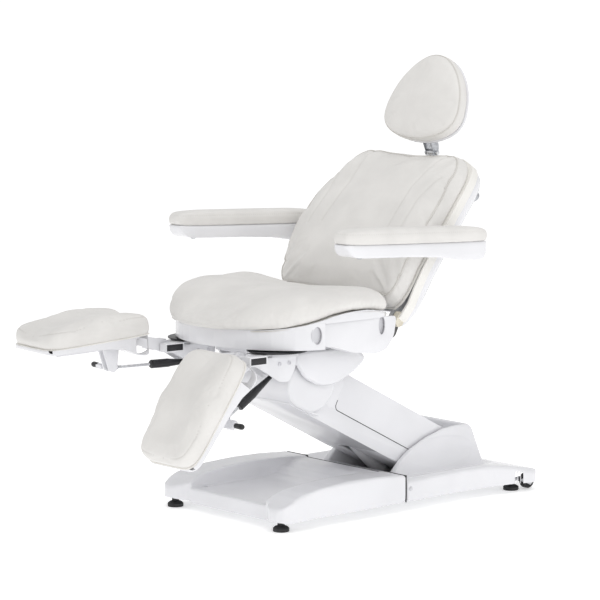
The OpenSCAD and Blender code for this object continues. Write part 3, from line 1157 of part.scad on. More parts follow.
// Headrest
post_top = 563;
head_pin_r = 6;
head_lift = 10;
module headrest_post() color(steel) in_back() {
  block([-post_w / 2, post_s + hub_r, post_z - post_t / 2], [post_w / 2, post_top, post_z + post_t / 2]);
  bar(post_t * 0.9, -post_w / 2, post_w / 2, post_top, post_z);
  bar(head_pin_r, -post_w, post_w, post_top, post_z);
}
module in_head() {
  in_back() translate([0, post_top, post_z]) rotate([head_angle - back_angle, 0, 0]) children();
}
head_back = 36;
module headrest_bracket() color(steel) in_head() difference() {
  union() for (s = [-1, 1]) {
    x0 = s > 0 ? post_w / 2 + cheek_gap / 3 : -post_w / 2 - cheek_gap / 3 - sleeve_t;
    bar(post_t, x0, x0 + sleeve_t, 0, 0);
    across([[0, -post_t], [0, post_t], [post_t * 2, head_back], [post_t * 6, head_back], [post_t * 6,
      head_back - sleeve_t], [post_t * 2, -post_t * 0.2]], x0, x0 + sleeve_t);
    block([min(s * (post_w / 2 + cheek_gap / 3), s * post_w * 1.4), post_t * 2, head_back - sleeve_t],
      [max(s * (post_w / 2 + cheek_gap / 3), s * post_w * 1.4), post_t * 6, head_back]);
  }
  bar(head_pin_r + run_fit, -post_w * 2, post_w * 2, 0, 0);
}
head_shell_t = 16;
// Egg outline of the headrest, wide below and narrow above
function egg(a, n) = [for (i = [0 : n - 1]) let (t = 360 * i / n, s = sin(t))
  [a * cos(t) * (1 - 0.22 * s) , head_lift + head_len * (0.42 + (s > 0 ? 0.58 : 0.42) * sign(s) *
    pow(abs(s), 0.9))]];
module headrest_shell() color(white) in_head() {
  mirror([0, 0, 1]) translate([0, 0, -head_back * 2 - head_shell_t])
    padded(egg(head_w / 2 * 0.985, 40), [0, head_lift + head_len * 0.44], [[0.5, 0], [0.975, 0], [0.99,
      0.25], [0.97, 0.55], [0.9, 0.85], [0.75, 1]],
      function(x, y) head_back, function(x, y) head_back + head_shell_t);
}
module headrest_cushion() color(cloth) in_head() {
  base = head_back + head_shell_t + soft_gap;
  padded(egg(head_w / 2, 40), [0, head_lift + head_len * 0.44], pad_step_shares, function(x, y) base,
    function(x, y) base + head_pad_t);
}

// Leg rests
leg_disc_r = 58;
leg_disc_t = 10;
cheek_x = 29;
cheek_t = 6;
tube_half = 60;
tube_h = 24;
tube_w = 60;
tube_t = 3;
leg_pin_r = 8;
tongue_x = 18;
tongue_t = 6;
gas_y = -16;
gas_z = 418;
gas_pin_r = 5;
gas_s = 175;
gas_h = -36;
gas_r = 12;
swivel_wall = 7;
module leg_swivel(s) color(white) in_swivel(s) difference() {
  union() {
    translate([0, 0, block_top - leg_disc_t]) cylinder(r = leg_disc_r, h = leg_disc_t - soft_gap, $fn = 72);
    translate([0, 0, block_top - neck_h]) cylinder(r = swivel_pin_r + swivel_wall, h = neck_h - over);
    for (k = [-1, 1]) {
      side_across(k, soft(cheek_plan, wall * 2), cheek_x, cheek_x + cheek_t);
      side_block(k, [cheek_x + over, tube_half], [-hinge_reach - tube_w / 2, -hinge_reach + tube_w / 2],
        [hinge_z - tube_h / 2, hinge_z + tube_h / 2]);
    }
    block([-cheek_x - over, -hinge_reach + shaft_r * 1.4, block_top - leg_disc_t + over],
      [cheek_x + over, -leg_disc_r * 0.8, block_top - over]);
    bar(leg_pin_r, -cheek_x - over, cheek_x + over, -hinge_reach, hinge_z);
    bar(gas_pin_r, -cheek_x - over, cheek_x + over, gas_y, gas_z);
  }
  translate([0, 0, block_top - neck_h - over])
    cylinder(r = swivel_pin_r + run_fit, h = neck_h * 2);
  for (k = [-1, 1]) side_block(k, [tube_half - tube_t * 2, tube_half + over],
    [-hinge_reach - tube_w / 2 + tube_t, -hinge_reach + tube_w / 2 - tube_t],
    [hinge_z - tube_h / 2 + tube_t, hinge_z + tube_h / 2 - tube_t]);
}
neck_h = 26;
cheek_plan = [[leg_disc_r * 0.65, block_top - leg_disc_t + over], [leg_disc_r * 0.6, gas_z + 18],
  [leg_disc_r * 0.2, gas_z - 18], [gas_y - 4, gas_z - 16], [-hinge_reach + tube_w * 0.3,
    hinge_z - tube_h * 0.9],
  [-hinge_reach - tube_w * 0.35, hinge_z - tube_h * 0.45], [-hinge_reach - tube_w * 0.35,
    hinge_z + tube_h * 0.4],
  [-leg_disc_r, block_top - leg_disc_t + over]];
module leg_swivel_left() leg_swivel(1);
module leg_swivel_right() leg_swivel(-1);

rail_s = 58;
rail_end = 330;
rail_h = 28;
rail_half = 26;
clevis_x = 10;
clevis_t = 5;
module leg_frame(s) color(painted) in_leg(s) {
  difference() {
    union() {
      for (k = [-1, 1]) {
        x0 = k > 0 ? tongue_x : -tongue_x - tongue_t;
        across(soft([[14, -12], [14, 12], [-rail_s, rail_h + 6], [-rail_end, rail_h + 6], [-rail_end,
          rail_h - 6], [-rail_s - 30, rail_h - 12], [-20, -14]], 8), x0, x0 + tongue_t);
        // cheeks that take the gas spring rod
        x1 = k > 0 ? clevis_x : -clevis_x - clevis_t;
        across(soft([[-gas_s + 22, rail_h - 6], [-gas_s + 12, gas_h - 6], [-gas_s, gas_h - 13],
          [-gas_s - 14, gas_h - 6], [-gas_s - 30, rail_h - 6]], 6), x1, x1 + clevis_t);
      }
      block([-tongue_x, -rail_end, rail_h - 6], [tongue_x, -gas_s + 26, rail_h - 1]);
      // lever bracket on the outer side
      block([s > 0 ? clevis_x + clevis_t : -lever_x, -gas_s - 12, gas_h - 4],
        [s > 0 ? lever_x : -clevis_x - clevis_t, -gas_s + 6, gas_h + 4]);
    }
    bar(leg_pin_r + run_fit, -tube_half, tube_half, 0, 0);
    translate([0, -gas_s + 7, 0]) translate([s * (lever_x - 8), 0, gas_h]) rotate([90, 0,
      0]) cylinder(r = 3 + run_fit, h = 40, center = true);
  }
}
module leg_frame_left() leg_frame(1);
module leg_frame_right() leg_frame(-1);
lever_x = 36;
module leg_lever(s) color(dark) in_leg(s) translate([s * (lever_x - 8), -gas_s - 3,
  gas_h]) mirror([s > 0 ? 0 : 1, 0, 0]) {
  rotate([90, 0, 0]) cylinder(r = 3, h = 26, center = true);
  for (k = [-1, 1]) block([-5, k > 0 ? 9.5 : -13, -5], [16, k > 0 ? 13 : -9.5, 5]);
  block([9, -13, -5], [22, 13, 5]);
  translate([21, 0, 0]) rotate([0, 90, 0]) rotate_extrude() polygon(soft([[0, 0], [5, 0], [7, 4], [8, 30],
    [6, 36], [0, 36]], 2));
}
module leg_lever_left() leg_lever(1);
module leg_lever_right() leg_lever(-1);

// Side outline of the leg shell, from its foot end to the hinge and below the seam
leg_start = 28;
leg_seam = 56;
leg_shell_shares = [[0, 1], [0, 0.82], [0.02, 0.78], [0.3, 0.74], [0.55, 0.66], [0.72, 0.44], [0.84, 0.1],
  [0.93, 0], [1, 0.12], [1, 1]];
leg_shell_d = 58;
leg_corner = 38;
// How much wider than the hinge bar the shell's hinge end stands, on each side
hinge_end = 25.6;
module leg_shell(s) color(white) in_pad(s) {
  y0 = over - leg_start - leg_len;
  len = leg_len - over;
  difference() {
    intersection() {
      across(soft(fit(leg_shell_shares, y0, len, leg_seam - leg_shell_d, leg_shell_d), 8), -leg_w, leg_w);
      upright(soft([[-leg_w * 0.47, y0], [leg_w * 0.47, y0], [leg_w * 0.49, y0 + len * 0.2], [leg_w * 0.49,
        y0 + len * 0.6], [tube_half + hinge_end, y0 + len],
        [-tube_half - hinge_end, y0 + len], [-leg_w * 0.49, y0 + len * 0.6], [-leg_w * 0.49, y0 + len * 0.2]],
          leg_corner), -leg_w, leg_w);
    }
    across(drawn_in(soft(fit(leg_shell_shares, y0, len, leg_seam - leg_shell_d, leg_shell_d), 8),
      [y0 + len / 2, leg_seam], wall), -leg_w * 0.44, leg_w * 0.44);
    // channel of the slide, and room for the hinge and the gas spring cheeks
    block([-rail_half, -rail_end - 50, -leg_w], [rail_half, leg_w, rail_h + 6 + slide_fit]);
    block([-tube_half - 3, -leg_start - 40, -leg_w], [tube_half + 3, leg_w, hinge_room]);
  }
  // runners on the frame
  for (k = [-1, 1]) block([k > 0 ? tongue_x + tongue_t + slide_fit : -tongue_x - tongue_t - slide_fit - 6,
    -rail_end + 30, rail_h - 4], [k > 0 ? tongue_x + tongue_t + slide_fit + 6 : -tongue_x - tongue_t -
    slide_fit, -rail_s - 130, leg_seam - wall]);
  block([-tongue_x - tongue_t - 6, -rail_end + 30, rail_h + 6 + slide_fit], [tongue_x + tongue_t + 6,
    -rail_s - 130, rail_h + 12]);
  block([-leg_w * 0.44 - over, -rail_end + 40, leg_seam - wall * 2], [leg_w * 0.44 + over, -rail_end + 70,
    leg_seam - wall]);
  block([-leg_w * 0.44 - over, -rail_s - 160, leg_seam - wall * 2], [leg_w * 0.44 + over, -rail_s - 130,
    leg_seam - wall]);
}
hinge_room = 38;
module leg_shell_left() leg_shell(1);
module leg_shell_right() leg_shell(-1);
leg_crown_shares = [[0, 0.98], [0.15, 1.02], [0.35, 1.12], [0.5, 1.14], [0.65, 1.02], [0.78, 0.92], [0.9,
  0.89], [1, 0.86]];
module leg_pad(s) color(cloth) in_pad(s) {
  mid = [0, -leg_start - leg_len / 2];
  plan = [for (q = oval(leg_w / 2, leg_len / 2, 44, 0.3)) mid + [q[0] * (1 - 0.06 * max(0,
    q[1] / leg_len)), q[1]]];
  low = function(x, y) leg_seam + soft_gap;
  high = function(x, y) leg_seam + soft_gap + leg_pad_t * lookup((-y - leg_start) / leg_len, leg_crown_shares)
    - 14 * pow(cos(90 * min(1, abs(x) / leg_w * 2)), 2);
  padded(plan, mid, [[0.5, 0], [0.955, 0], [0.975, 0.05], [0.995, 0.2], [1, 0.4], [0.992, 0.62], [0.965,
    0.8], [0.91, 0.93], [0.8, 0.985], [0.55, 1], [0.28, 1]], low, high);
}
module leg_pad_left() leg_pad(1);
module leg_pad_right() leg_pad(-1);

function leg_point(s, a, b) = [hinge_y_local - a * cos(leg_drop(s)) - b * sin(leg_drop(s)),
  hinge_z - a * sin(leg_drop(s)) + b * cos(leg_drop(s))];
hinge_y_local = -hinge_reach;
function gas_reach(s) = norm(leg_point(s, gas_s, gas_h) - [gas_y, gas_z]);
gas_tube_len = 142;
gas_rod_r = 4;
gas_rod_len = 150;
module in_gas(s) {
  b = leg_point(s, gas_s, gas_h);
  in_swivel(s) translate([0, gas_y, gas_z]) rotate([-slope([gas_y, gas_z], b), 0, 0]) children();
}
module gas_tube(s) color(dark) in_gas(s) difference() {
  union() {
    rotate([90, 0, 0]) rotate_extrude() polygon([[0, 0], [6, 0], [6.5, 20], [gas_r * 0.85,
      gas_tube_len * 0.5], [gas_r, gas_tube_len * 0.6], [gas_r, gas_tube_len - 3], [gas_r * 0.8,
      gas_tube_len], [0, gas_tube_len]]);
    bar(9, -7, 7);
  }
  bar(gas_pin_r + run_fit, -20, 20);
  translate([0, -22, 0]) rotate([90, 0, 0]) cylinder(r = gas_rod_r + run_fit, h = gas_tube_len);
}
module gas_rod(s) color(steel) in_gas(s) {
  l = gas_reach(s);
  translate([0, -l + 6 + gas_rod_len, 0]) rotate([90, 0, 0]) cylinder(r = gas_rod_r, h = gas_rod_len);
  translate([0, -l + 22, 0]) rotate([90, 0, 0]) cylinder(r = 7, h = 16, $fn = 6);
  difference() {
    bar(8, -6, 6, -l, 0);
    bar(4, -20, 20, -l, 0);
  }
}
module gas_tube_left() gas_tube(1);
module gas_tube_right() gas_tube(-1);
module gas_rod_left() gas_rod(1);
module gas_rod_right() gas_rod(-1);

module placed() translate([0, origin_y, 0]) children();

placed() base_frame();
placed() front_cover();
placed() rear_cover();
placed() cover_screws();
placed() levelling_feet();
placed() lift_pivot_shaft();
placed() transport_wheel_left();
placed() transport_wheel_right();
placed() arm_frame();
placed() arm_cover();
placed() arm_top_panel();
placed() arm_head_cover();
placed() parallel_link();
placed() carriage_yoke();
placed() carriage_cover();
placed() carriage_shaft();
placed() lift_tube();
placed() lift_rod();
placed() tilt_tube();
placed() tilt_rod();
placed() back_tube();
placed() back_rod();
placed() seat_frame();
placed() seat_shell();
placed() seat_side_cover_left();
placed() seat_side_cover_right();
placed() seat_cushion();
placed() swivel_plates();
placed() back_hinge_brackets();
placed() back_frame();
placed() back_shell();
placed() back_cushion();
placed() back_gussets();
placed() headrest_knob();
placed() armrest_cover_left();
placed() armrest_cover_right();
placed() armrest_pad_left();
placed() armrest_pad_right();
placed() armrest_button_left();
placed() armrest_button_right();
placed() headrest_post();
placed() headrest_bracket();
placed() headrest_shell();
placed() headrest_cushion();
placed() leg_swivel_left();
placed() leg_swivel_right();
placed() leg_frame_left();
placed() leg_frame_right();
placed() leg_shell_left();
placed() leg_shell_right();
placed() leg_pad_left();
placed() leg_pad_right();
placed() gas_tube_left();
placed() gas_tube_right();
placed() gas_rod_left();
placed() gas_rod_right();
placed() leg_lever_left();
placed() leg_lever_right();
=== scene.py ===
import bpy
import bmesh
import json
import math
from mathutils import Matrix, Vector, noise
from mathutils.bvhtree import BVHTree
from mathutils.kdtree import KDTree


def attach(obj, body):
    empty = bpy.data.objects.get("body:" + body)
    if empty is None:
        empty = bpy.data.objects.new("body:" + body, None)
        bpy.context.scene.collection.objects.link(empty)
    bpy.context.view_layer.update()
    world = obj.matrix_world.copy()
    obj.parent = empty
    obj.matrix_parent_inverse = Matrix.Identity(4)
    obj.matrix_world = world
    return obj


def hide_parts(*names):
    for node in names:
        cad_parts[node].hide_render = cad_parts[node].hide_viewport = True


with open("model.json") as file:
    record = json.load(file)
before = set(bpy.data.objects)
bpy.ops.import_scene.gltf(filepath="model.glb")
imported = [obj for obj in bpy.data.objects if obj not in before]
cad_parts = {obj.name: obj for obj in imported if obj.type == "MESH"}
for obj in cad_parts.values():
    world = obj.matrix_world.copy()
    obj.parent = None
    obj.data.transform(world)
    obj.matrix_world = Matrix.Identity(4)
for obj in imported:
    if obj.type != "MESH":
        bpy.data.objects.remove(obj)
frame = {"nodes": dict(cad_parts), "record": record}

scene = bpy.context.scene
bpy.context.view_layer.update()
print("frame loaded:", len(frame["nodes"]), "nodes")

# Where the parts stand, in metres and degrees; x is across, y along and z out of each part
placing = {
    "shift": -0.2425,
    "liftPivot": (0, 0.700, 0.110), "liftAngle": 27.44, "liftReach": 0.586,
    "backPivot": (0, 0.425, 0.528), "backAngle": 56,
    "headPivot": (0, 0.563, -0.042), "headAngle": 12,
    "armrestPivot": (0.351, 0.244, 0.006), "armrestAngle": -58.6,
    "legPivot": (0.170, 0.036, 0), "legReach": 0.116, "legHeight": 0.470,
    "legDrop": {1: 53.7, -1: 3.6}, "legTurn": {1: 0, -1: -4.6}, "legOut": {1: 0, -1: 0.060},
}
shift = placing["shift"]
sides = ((1, "left"), (-1, "right"))


def turned(axis, degrees):
    return Matrix.Rotation(math.radians(degrees), 4, axis)


def moved(x, y, z):
    return Matrix.Translation((x, y, z))


seatPlace = moved(0, shift, 0)
armPlace = seatPlace @ moved(*placing["liftPivot"]) @ turned("X", -placing["liftAngle"])
backPlace = seatPlace @ moved(*placing["backPivot"]) @ turned("X", placing["backAngle"])
headPlace = backPlace @ moved(*placing["headPivot"]) @ turned("X", placing["headAngle"])


def armrestPlace(side):
    x, y, z = placing["armrestPivot"]
    return backPlace @ moved(side * x, y, z) @ turned("X", placing["armrestAngle"])


def swivelPlace(side):
    x, y, z = placing["legPivot"]
    return seatPlace @ moved(side * x, y, z) @ turned("Z", placing["legTurn"][side])


def legPlace(side):
    hinge = swivelPlace(side) @ moved(0, -placing["legReach"], placing["legHeight"])
    return hinge @ turned("X", placing["legDrop"][side]) @ moved(0, -placing["legOut"][side], 0)


# Materials
def linear(hexColour):
    values = [int(hexColour[i:i + 2], 16) / 255 for i in (1, 3, 5)]
    return tuple(v / 12.92 if v <= 0.04045 else ((v + 0.055) / 1.055) ** 2.4 for v in values) + (1,)


def addNode(tree, kind, settings=None, inputs=None):
    node = tree.nodes.new(kind)
    for name, value in (settings or {}).items():
        setattr(node, name, value)
    for name, value in (inputs or {}).items():
        if isinstance(value, tuple) and len(value) == 2 and isinstance(value[0], bpy.types.Node):
            tree.links.new(value[0].outputs[value[1]], node.inputs[name])
        else:
            node.inputs[name].default_value = value
    return node


def perMetre(sizeInMm):
    return 1000 / sizeInMm


def startMaterial(name):
    material = bpy.data.materials.new(name)
    material.use_nodes = True
    tree = material.node_tree
    tree.nodes.clear()
    shader = addNode(tree, "ShaderNodeBsdfPrincipled")
    addNode(tree, "ShaderNodeOutputMaterial", inputs={"Surface": (shader, "BSDF")})
    place = addNode(tree, "ShaderNodeTexCoord")
    return material, tree, shader, place


def unevenColour(tree, place, low, high, size, detail):
    # two close shades in soft clouds of the given size in mm
    cloud = addNode(tree, "ShaderNodeTexNoise", inputs={
        "Vector": (place, "Object"), "Scale": perMetre(size), "Detail": detail})
    shades = addNode(tree, "ShaderNodeValToRGB", inputs={"Fac": (cloud, "Fac")})
    for stop, position, shade in zip(shades.color_ramp.elements, (0.35, 0.65), (low, high)):
        stop.position, stop.color = position, linear(shade)
    return shades


def hardSurface(name, low, high, roughness, cloud, grain, strength, depth):
    # clouded colour over a fine noise relief; cloud and grain are each a size in mm and a detail
    material, tree, shader, place = startMaterial(name)
    colour = unevenColour(tree, place, low, high, *cloud)
    tree.links.new(colour.outputs["Color"], shader.inputs["Base Color"])
    relief = addNode(tree, "ShaderNodeTexNoise", inputs={
        "Vector": (place, "Object"), "Scale": perMetre(grain[0]), "Detail": grain[1]})
    bump = addNode(tree, "ShaderNodeBump", inputs={
        "Height": (relief, "Fac"), "Strength": strength, "Distance": depth})
    tree.links.new(bump.outputs["Normal"], shader.inputs["Normal"])
    shader.inputs["Roughness"].default_value = roughness
    return material, shader


def mouldedAbs(name, low, high, roughness=0.24):
    # injection moulded ABS: a clear gloss over a very faint orange peel, slightly uneven whiteness
    material, shader = hardSurface(
        name, low, high, roughness, cloud=(180, 2), grain=(5, 1), strength=0.02, depth=0.001)
    shader.inputs["IOR"].default_value = 1.53
    shader.inputs["Coat Weight"].default_value = 0.25
    shader.inputs["Coat Roughness"].default_value = 0.12
    return material


def paintedSteel(name, low, high, roughness):
    # powder coat on steel: a fine orange peel and a soft gloss
    return hardSurface(
        name, low, high, roughness, cloud=(60, 3), grain=(2.2, 2), strength=0.05, depth=0.0005)[0]


def bareMetal(name, low, high, roughness, grain, strength=0.04):
    # plated or machined steel: metallic, with fine turning marks
    material, shader = hardSurface(
        name, low, high, roughness, cloud=(grain * 12, 3), grain=(grain, 4), strength=strength, depth=0.0004)
    shader.inputs["Metallic"].default_value = 1
    return material


def softPlastic(name, low, high, roughness):
    # unpolished rubber or polyamide: matt, with a fine spark-eroded texture
    return hardSurface(
        name, low, high, roughness, cloud=(25, 3), grain=(1.2, 2), strength=0.15, depth=0.0005)[0]


def coatedLeather(name, low, high, seamShadeColour):
    # PU coated leather cloth: matt sheen, a pebbled grain drawn a little coarser than the real 0.8 mm
    grain, creaseSize = 1.6, 26
    material, tree, shader, place = startMaterial(name)
    colour = unevenColour(tree, place, low, high, 90, 4)
    # the seam attribute mixes in the seam shade colour: painted shade in the pressed seams, cords and tucks
    seam = addNode(tree, "ShaderNodeAttribute", {"attribute_name": "seam"})
    joined = addNode(tree, "ShaderNodeMix", {"data_type": "RGBA"}, {
        0: (seam, "Fac"), 6: (colour, "Color"), 7: linear(seamShadeColour)})
    tree.links.new(joined.outputs[2], shader.inputs["Base Color"])
    cells = addNode(tree, "ShaderNodeTexVoronoi", {"feature": "DISTANCE_TO_EDGE"}, {
        "Vector": (place, "Object"), "Scale": perMetre(grain)})
    edge = addNode(tree, "ShaderNodeMath", {"operation": "MINIMUM"}, {0: (cells, "Distance"), 1: 0.25})
    fine = addNode(tree, "ShaderNodeBump", inputs={
        "Height": (edge, "Value"), "Strength": 0.22, "Distance": 0.0006})
    crease = addNode(tree, "ShaderNodeTexNoise", inputs={
        "Vector": (place, "Object"), "Scale": perMetre(creaseSize), "Detail": 3})
    soft = addNode(tree, "ShaderNodeBump", inputs={
        "Height": (crease, "Fac"), "Strength": 0.12, "Distance": 0.004, "Normal": (fine, "Normal")})
    tree.links.new(soft.outputs["Normal"], shader.inputs["Normal"])
    shader.inputs["Roughness"].default_value = 0.5
    shader.inputs["Sheen Weight"].default_value = 0.12
    shader.inputs["Sheen Roughness"].default_value = 0.4
    return material


def wovenCloth(name, low, high):
    # plain woven cotton lining: two crossed sets of threads 1.1 mm apart, a soft sheen
    threads = perMetre(1.1) / 6.3  # a wave texture repeats about 6.3 times in one unit of scale
    material, tree, shader, place = startMaterial(name)
    colour = unevenColour(tree, place, low, high, 20, 3)
    tree.links.new(colour.outputs["Color"], shader.inputs["Base Color"])
    warp, weft = [addNode(tree, "ShaderNodeTexWave", {"bands_direction": axis}, {
        "Vector": (place, "Object"), "Scale": threads}) for axis in ("X", "Z")]
    both = addNode(tree, "ShaderNodeMath", {"operation": "MULTIPLY"}, {0: (warp, "Fac"), 1: (weft, "Fac")})
    bump = addNode(tree, "ShaderNodeBump", inputs={
        "Height": (both, "Value"), "Strength": 0.25, "Distance": 0.0006})
    tree.links.new(bump.outputs["Normal"], shader.inputs["Normal"])
    shader.inputs["Roughness"].default_value = 0.85
    shader.inputs["Sheen Weight"].default_value = 0.3
    return material


whiteAbs = mouldedAbs("whiteAbs", "#E6E6E9", "#ECECEF")  # covers and shells
shadedCapAbs = mouldedAbs("shadedCapAbs", "#CFCFD3", "#DADADE", roughness=0.3)  # screw caps and recess floors, greyer than the covers as painted shade
whiteLeather = coatedLeather("whiteLeather", "#DFDDDA", "#E6E4E1", "#B7B3AD")  # cushions
litBandLeather = coatedLeather("litBandLeather", "#EDEBE6", "#F3F1ED", "#B7B3AD")  # side bands, lighter than the cushions as painted light
shadedPipingLeather = coatedLeather("shadedPipingLeather", "#CFCCC7", "#DAD8D3", "#A9A59F")  # corded rims, greyer than the cushions as painted shade along the rims
whitePowder = paintedSteel("whitePowder", "#E4E4E7", "#EAEAED", 0.3)  # leg rest mechanism
greyPowder = paintedSteel("greyPowder", "#C6C7CA", "#D0D1D4", 0.4)  # frames under the covers
blackPaint = paintedSteel("blackPaint", "#17171A", "#222226", 0.34)  # actuators and gas springs
bracketPaint = paintedSteel("bracketPaint", "#403F3E", "#52504E", 0.45)  # hinge of the back
footRubber = softPlastic("footRubber", "#1B1B1D", "#29292B", 0.6)
shadowGap = softPlastic("shadowGap", "#1C1C1E", "#29292B", 0.8)  # painted shade: dark strips put in the seams of the covers
gripPlastic = softPlastic("gripPlastic", "#1A1A1C", "#262628", 0.42)
polishedChrome = bareMetal("polishedChrome", "#C9CACD", "#E2E3E5", 0.12, 0.8)
turnedSteel = bareMetal("turnedSteel", "#A3A5A9", "#C2C4C8", 0.3, 0.6, 0.1)
gatheredLining = wovenCloth("gatheredLining", "#D8D1BF", "#E6E0D0")

finishes = {
    whiteAbs: ["front_cover", "rear_cover", "arm_cover", "arm_top_panel", "arm_head_cover", "carriage_cover",
               "seat_shell", "seat_side_cover_left", "seat_side_cover_right", "back_shell", "headrest_shell",
               "armrest_cover_left", "armrest_cover_right", "leg_shell_left", "leg_shell_right"],
    shadedCapAbs: ["cover_screws"],
    whiteLeather: ["seat_cushion", "back_cushion", "headrest_cushion", "armrest_pad_left",
                   "armrest_pad_right", "leg_pad_left", "leg_pad_right"],
    whitePowder: ["leg_swivel_left", "leg_swivel_right", "leg_frame_left", "leg_frame_right", "lift_tube"],
    greyPowder: ["base_frame", "arm_frame", "parallel_link", "carriage_yoke", "seat_frame", "back_frame"],
    blackPaint: ["tilt_tube", "back_tube", "swivel_plates", "gas_tube_left", "gas_tube_right"],
    bracketPaint: ["back_hinge_brackets"],
    footRubber: ["levelling_feet", "transport_wheel_left", "transport_wheel_right"],
    gripPlastic: ["leg_lever_left", "leg_lever_right"],
    polishedChrome: ["lift_rod", "tilt_rod", "back_rod", "headrest_post", "gas_rod_left", "gas_rod_right"],
    turnedSteel: ["lift_pivot_shaft", "carriage_shaft", "headrest_bracket", "armrest_button_left",
                  "armrest_button_right", "headrest_knob"],
    gatheredLining: ["back_gussets"],
}
slotOf = {entry["node"]: entry["material_slot"] for entry in frame["record"]["subparts"]}
bodyOf = {node: body for body, nodes in frame["record"]["behaviour"]["bodies"].items() for node in nodes}
finishOf = {node: material for material, nodes in finishes.items() for node in nodes}
for node, thing in frame["nodes"].items():
    thing.data.materials.clear()
    thing.data.materials.append(finishOf[node])
print("materials ready:", len(finishes))


# Shared making
def near(value, low, high):
    return max(0.0, min(1.0, (value - low) / (high - low)))


def lookup(table, t):
    for (a, low), (b, high) in zip(table, table[1:]):
        if t <= b:
            return low + (high - low) * max(0, min(1, (t - a) / (b - a)))
    return table[-1][1]


def newObject(name, bm, material, body):
    mesh = bpy.data.meshes.new(name)
    bm.to_mesh(mesh)
    bm.free()
    thing = bpy.data.objects.new(name, mesh)
    scene.collection.objects.link(thing)
    mesh.materials.append(material)
    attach(thing, body)
    return thing


def smoothByAngle(mesh, degrees):
    bm = bmesh.new()
    bm.from_mesh(mesh)
    for face in bm.faces:
        face.smooth = True
    for edge in bm.edges:
        edge.smooth = len(edge.link_faces) == 2 and edge.calc_face_angle(0) < math.radians(degrees)
    bm.to_mesh(mesh)
    bm.free()


def smoothAll(thing):
    for face in thing.data.polygons:
        face.use_smooth = True


def cleanCopy(node, flatten=0.4):
    bm = bmesh.new()
    bm.from_mesh(frame["nodes"][node].data)
    bmesh.ops.remove_doubles(bm, verts=bm.verts, dist=0.00002)
    bmesh.ops.dissolve_limit(bm, angle_limit=math.radians(flatten), verts=bm.verts, edges=bm.edges)
    return bm


def allOf(bm):
    return bm.verts[:] + bm.edges[:] + bm.faces[:]


def pushed(bm, grown, by):
    # moves what an extrusion has just made
    verts = [v for v in grown["geom"] if isinstance(v, bmesh.types.BMVert)]
    bmesh.ops.translate(bm, vec=by, verts=verts)


def baked(thing):
    graph = bpy.context.evaluated_depsgraph_get()
    mesh = bpy.data.meshes.new_from_object(thing.evaluated_get(graph))
    thing.modifiers.clear()
    old = thing.data
    thing.data = mesh
    bpy.data.meshes.remove(old)


def placed(thing, matrix):
    thing.data.transform(matrix)
    thing.data.update()


def skinTree(thing):
    mesh = thing.data
    return BVHTree.FromPolygons([v.co for v in mesh.vertices], [f.vertices[:] for f in mesh.polygons])


# Rigid pieces with rounded edges
moulding = {  # radius in mm of the rounded edges of each piece
    "arm_cover": 2, "arm_top_panel": 1.6, "back_shell": 2.5, "seat_shell": 2, "seat_side_cover_left": 2,
    "seat_side_cover_right": 2, "leg_shell_left": 2, "leg_shell_right": 2, "leg_swivel_left": 1.5,
    "leg_swivel_right": 1.5, "leg_frame_left": 1, "leg_frame_right": 1, "back_hinge_brackets": 1,
    "swivel_plates": 0.8, "headrest_bracket": 0.6, "levelling_feet": 0.8, "transport_wheel_left": 0.8,
    "transport_wheel_right": 0.8, "gas_tube_left": 0.5, "gas_tube_right": 0.5, "leg_lever_left": 0.6,
    "leg_lever_right": 0.6, "headrest_knob": 0.5, "headrest_post": 1.2,
}
recessLook = {  # oval finger recesses in the sides of the seat: y, z and the two radii, in metres
    "ovals": {"seat_shell": (0.084, 0.529, 0.0135, 0.024), "seat_side_cover": (0.318, 0.537, 0.012, 0.026)},
    "from": 0.262, "to": 0.32,
    # the floor's two depths under the wall, its size and the stretch of wall that is searched, as shares
    "floor": (0.013, 0.009), "floorShares": (1.25, 1.15), "wallShares": (1.3, 1.2),
}
leverShare = 0.5  # the inner share of a release lever that is painted white; the grip is black


def ovalPlug(y, z, a, b, low, high):
    bm = bmesh.new()
    bmesh.ops.create_circle(bm, cap_ends=True, radius=1, segments=48)
    bmesh.ops.scale(bm, vec=(a, b, 1), verts=bm.verts)
    pushed(bm, bmesh.ops.extrude_face_region(bm, geom=bm.faces[:]), (0, 0, high - low))
    # the circle's x becomes y, its y becomes z and its height becomes x
    swap = Matrix(((0, 0, 1, low), (1, 0, 0, y + shift), (0, 1, 0, z), (0, 0, 0, 1)))
    bmesh.ops.transform(bm, matrix=swap, verts=bm.verts)
    bmesh.ops.recalc_face_normals(bm, faces=bm.faces)
    return bm


def cutBy(thing, bm):
    mesh = bpy.data.meshes.new("cutter")
    bm.to_mesh(mesh)
    bm.free()
    tool = bpy.data.objects.new("cutter", mesh)
    scene.collection.objects.link(tool)
    step = thing.modifiers.new("cut", "BOOLEAN")
    step.operation, step.object, step.solver = "DIFFERENCE", tool, "EXACT"
    baked(thing)
    bpy.data.objects.remove(tool)


def recessed(thing, node):
    for kind, oval in recessLook["ovals"].items():
        if node.startswith(kind):
            for side, label in sides:
                if node == kind or node.endswith(label):
                    ends = sorted((side * recessLook["from"], side * recessLook["to"]))
                    cutBy(thing, ovalPlug(*oval, *ends))


def paintedInside(lever):
    lever.data.materials.append(whitePowder)
    reaches = [abs(v.co.x) for v in lever.data.vertices]
    limit = min(reaches) + (max(reaches) - min(reaches)) * leverShare
    for face in lever.data.polygons:
        if abs(face.center.x) < limit:
            face.material_index = 1


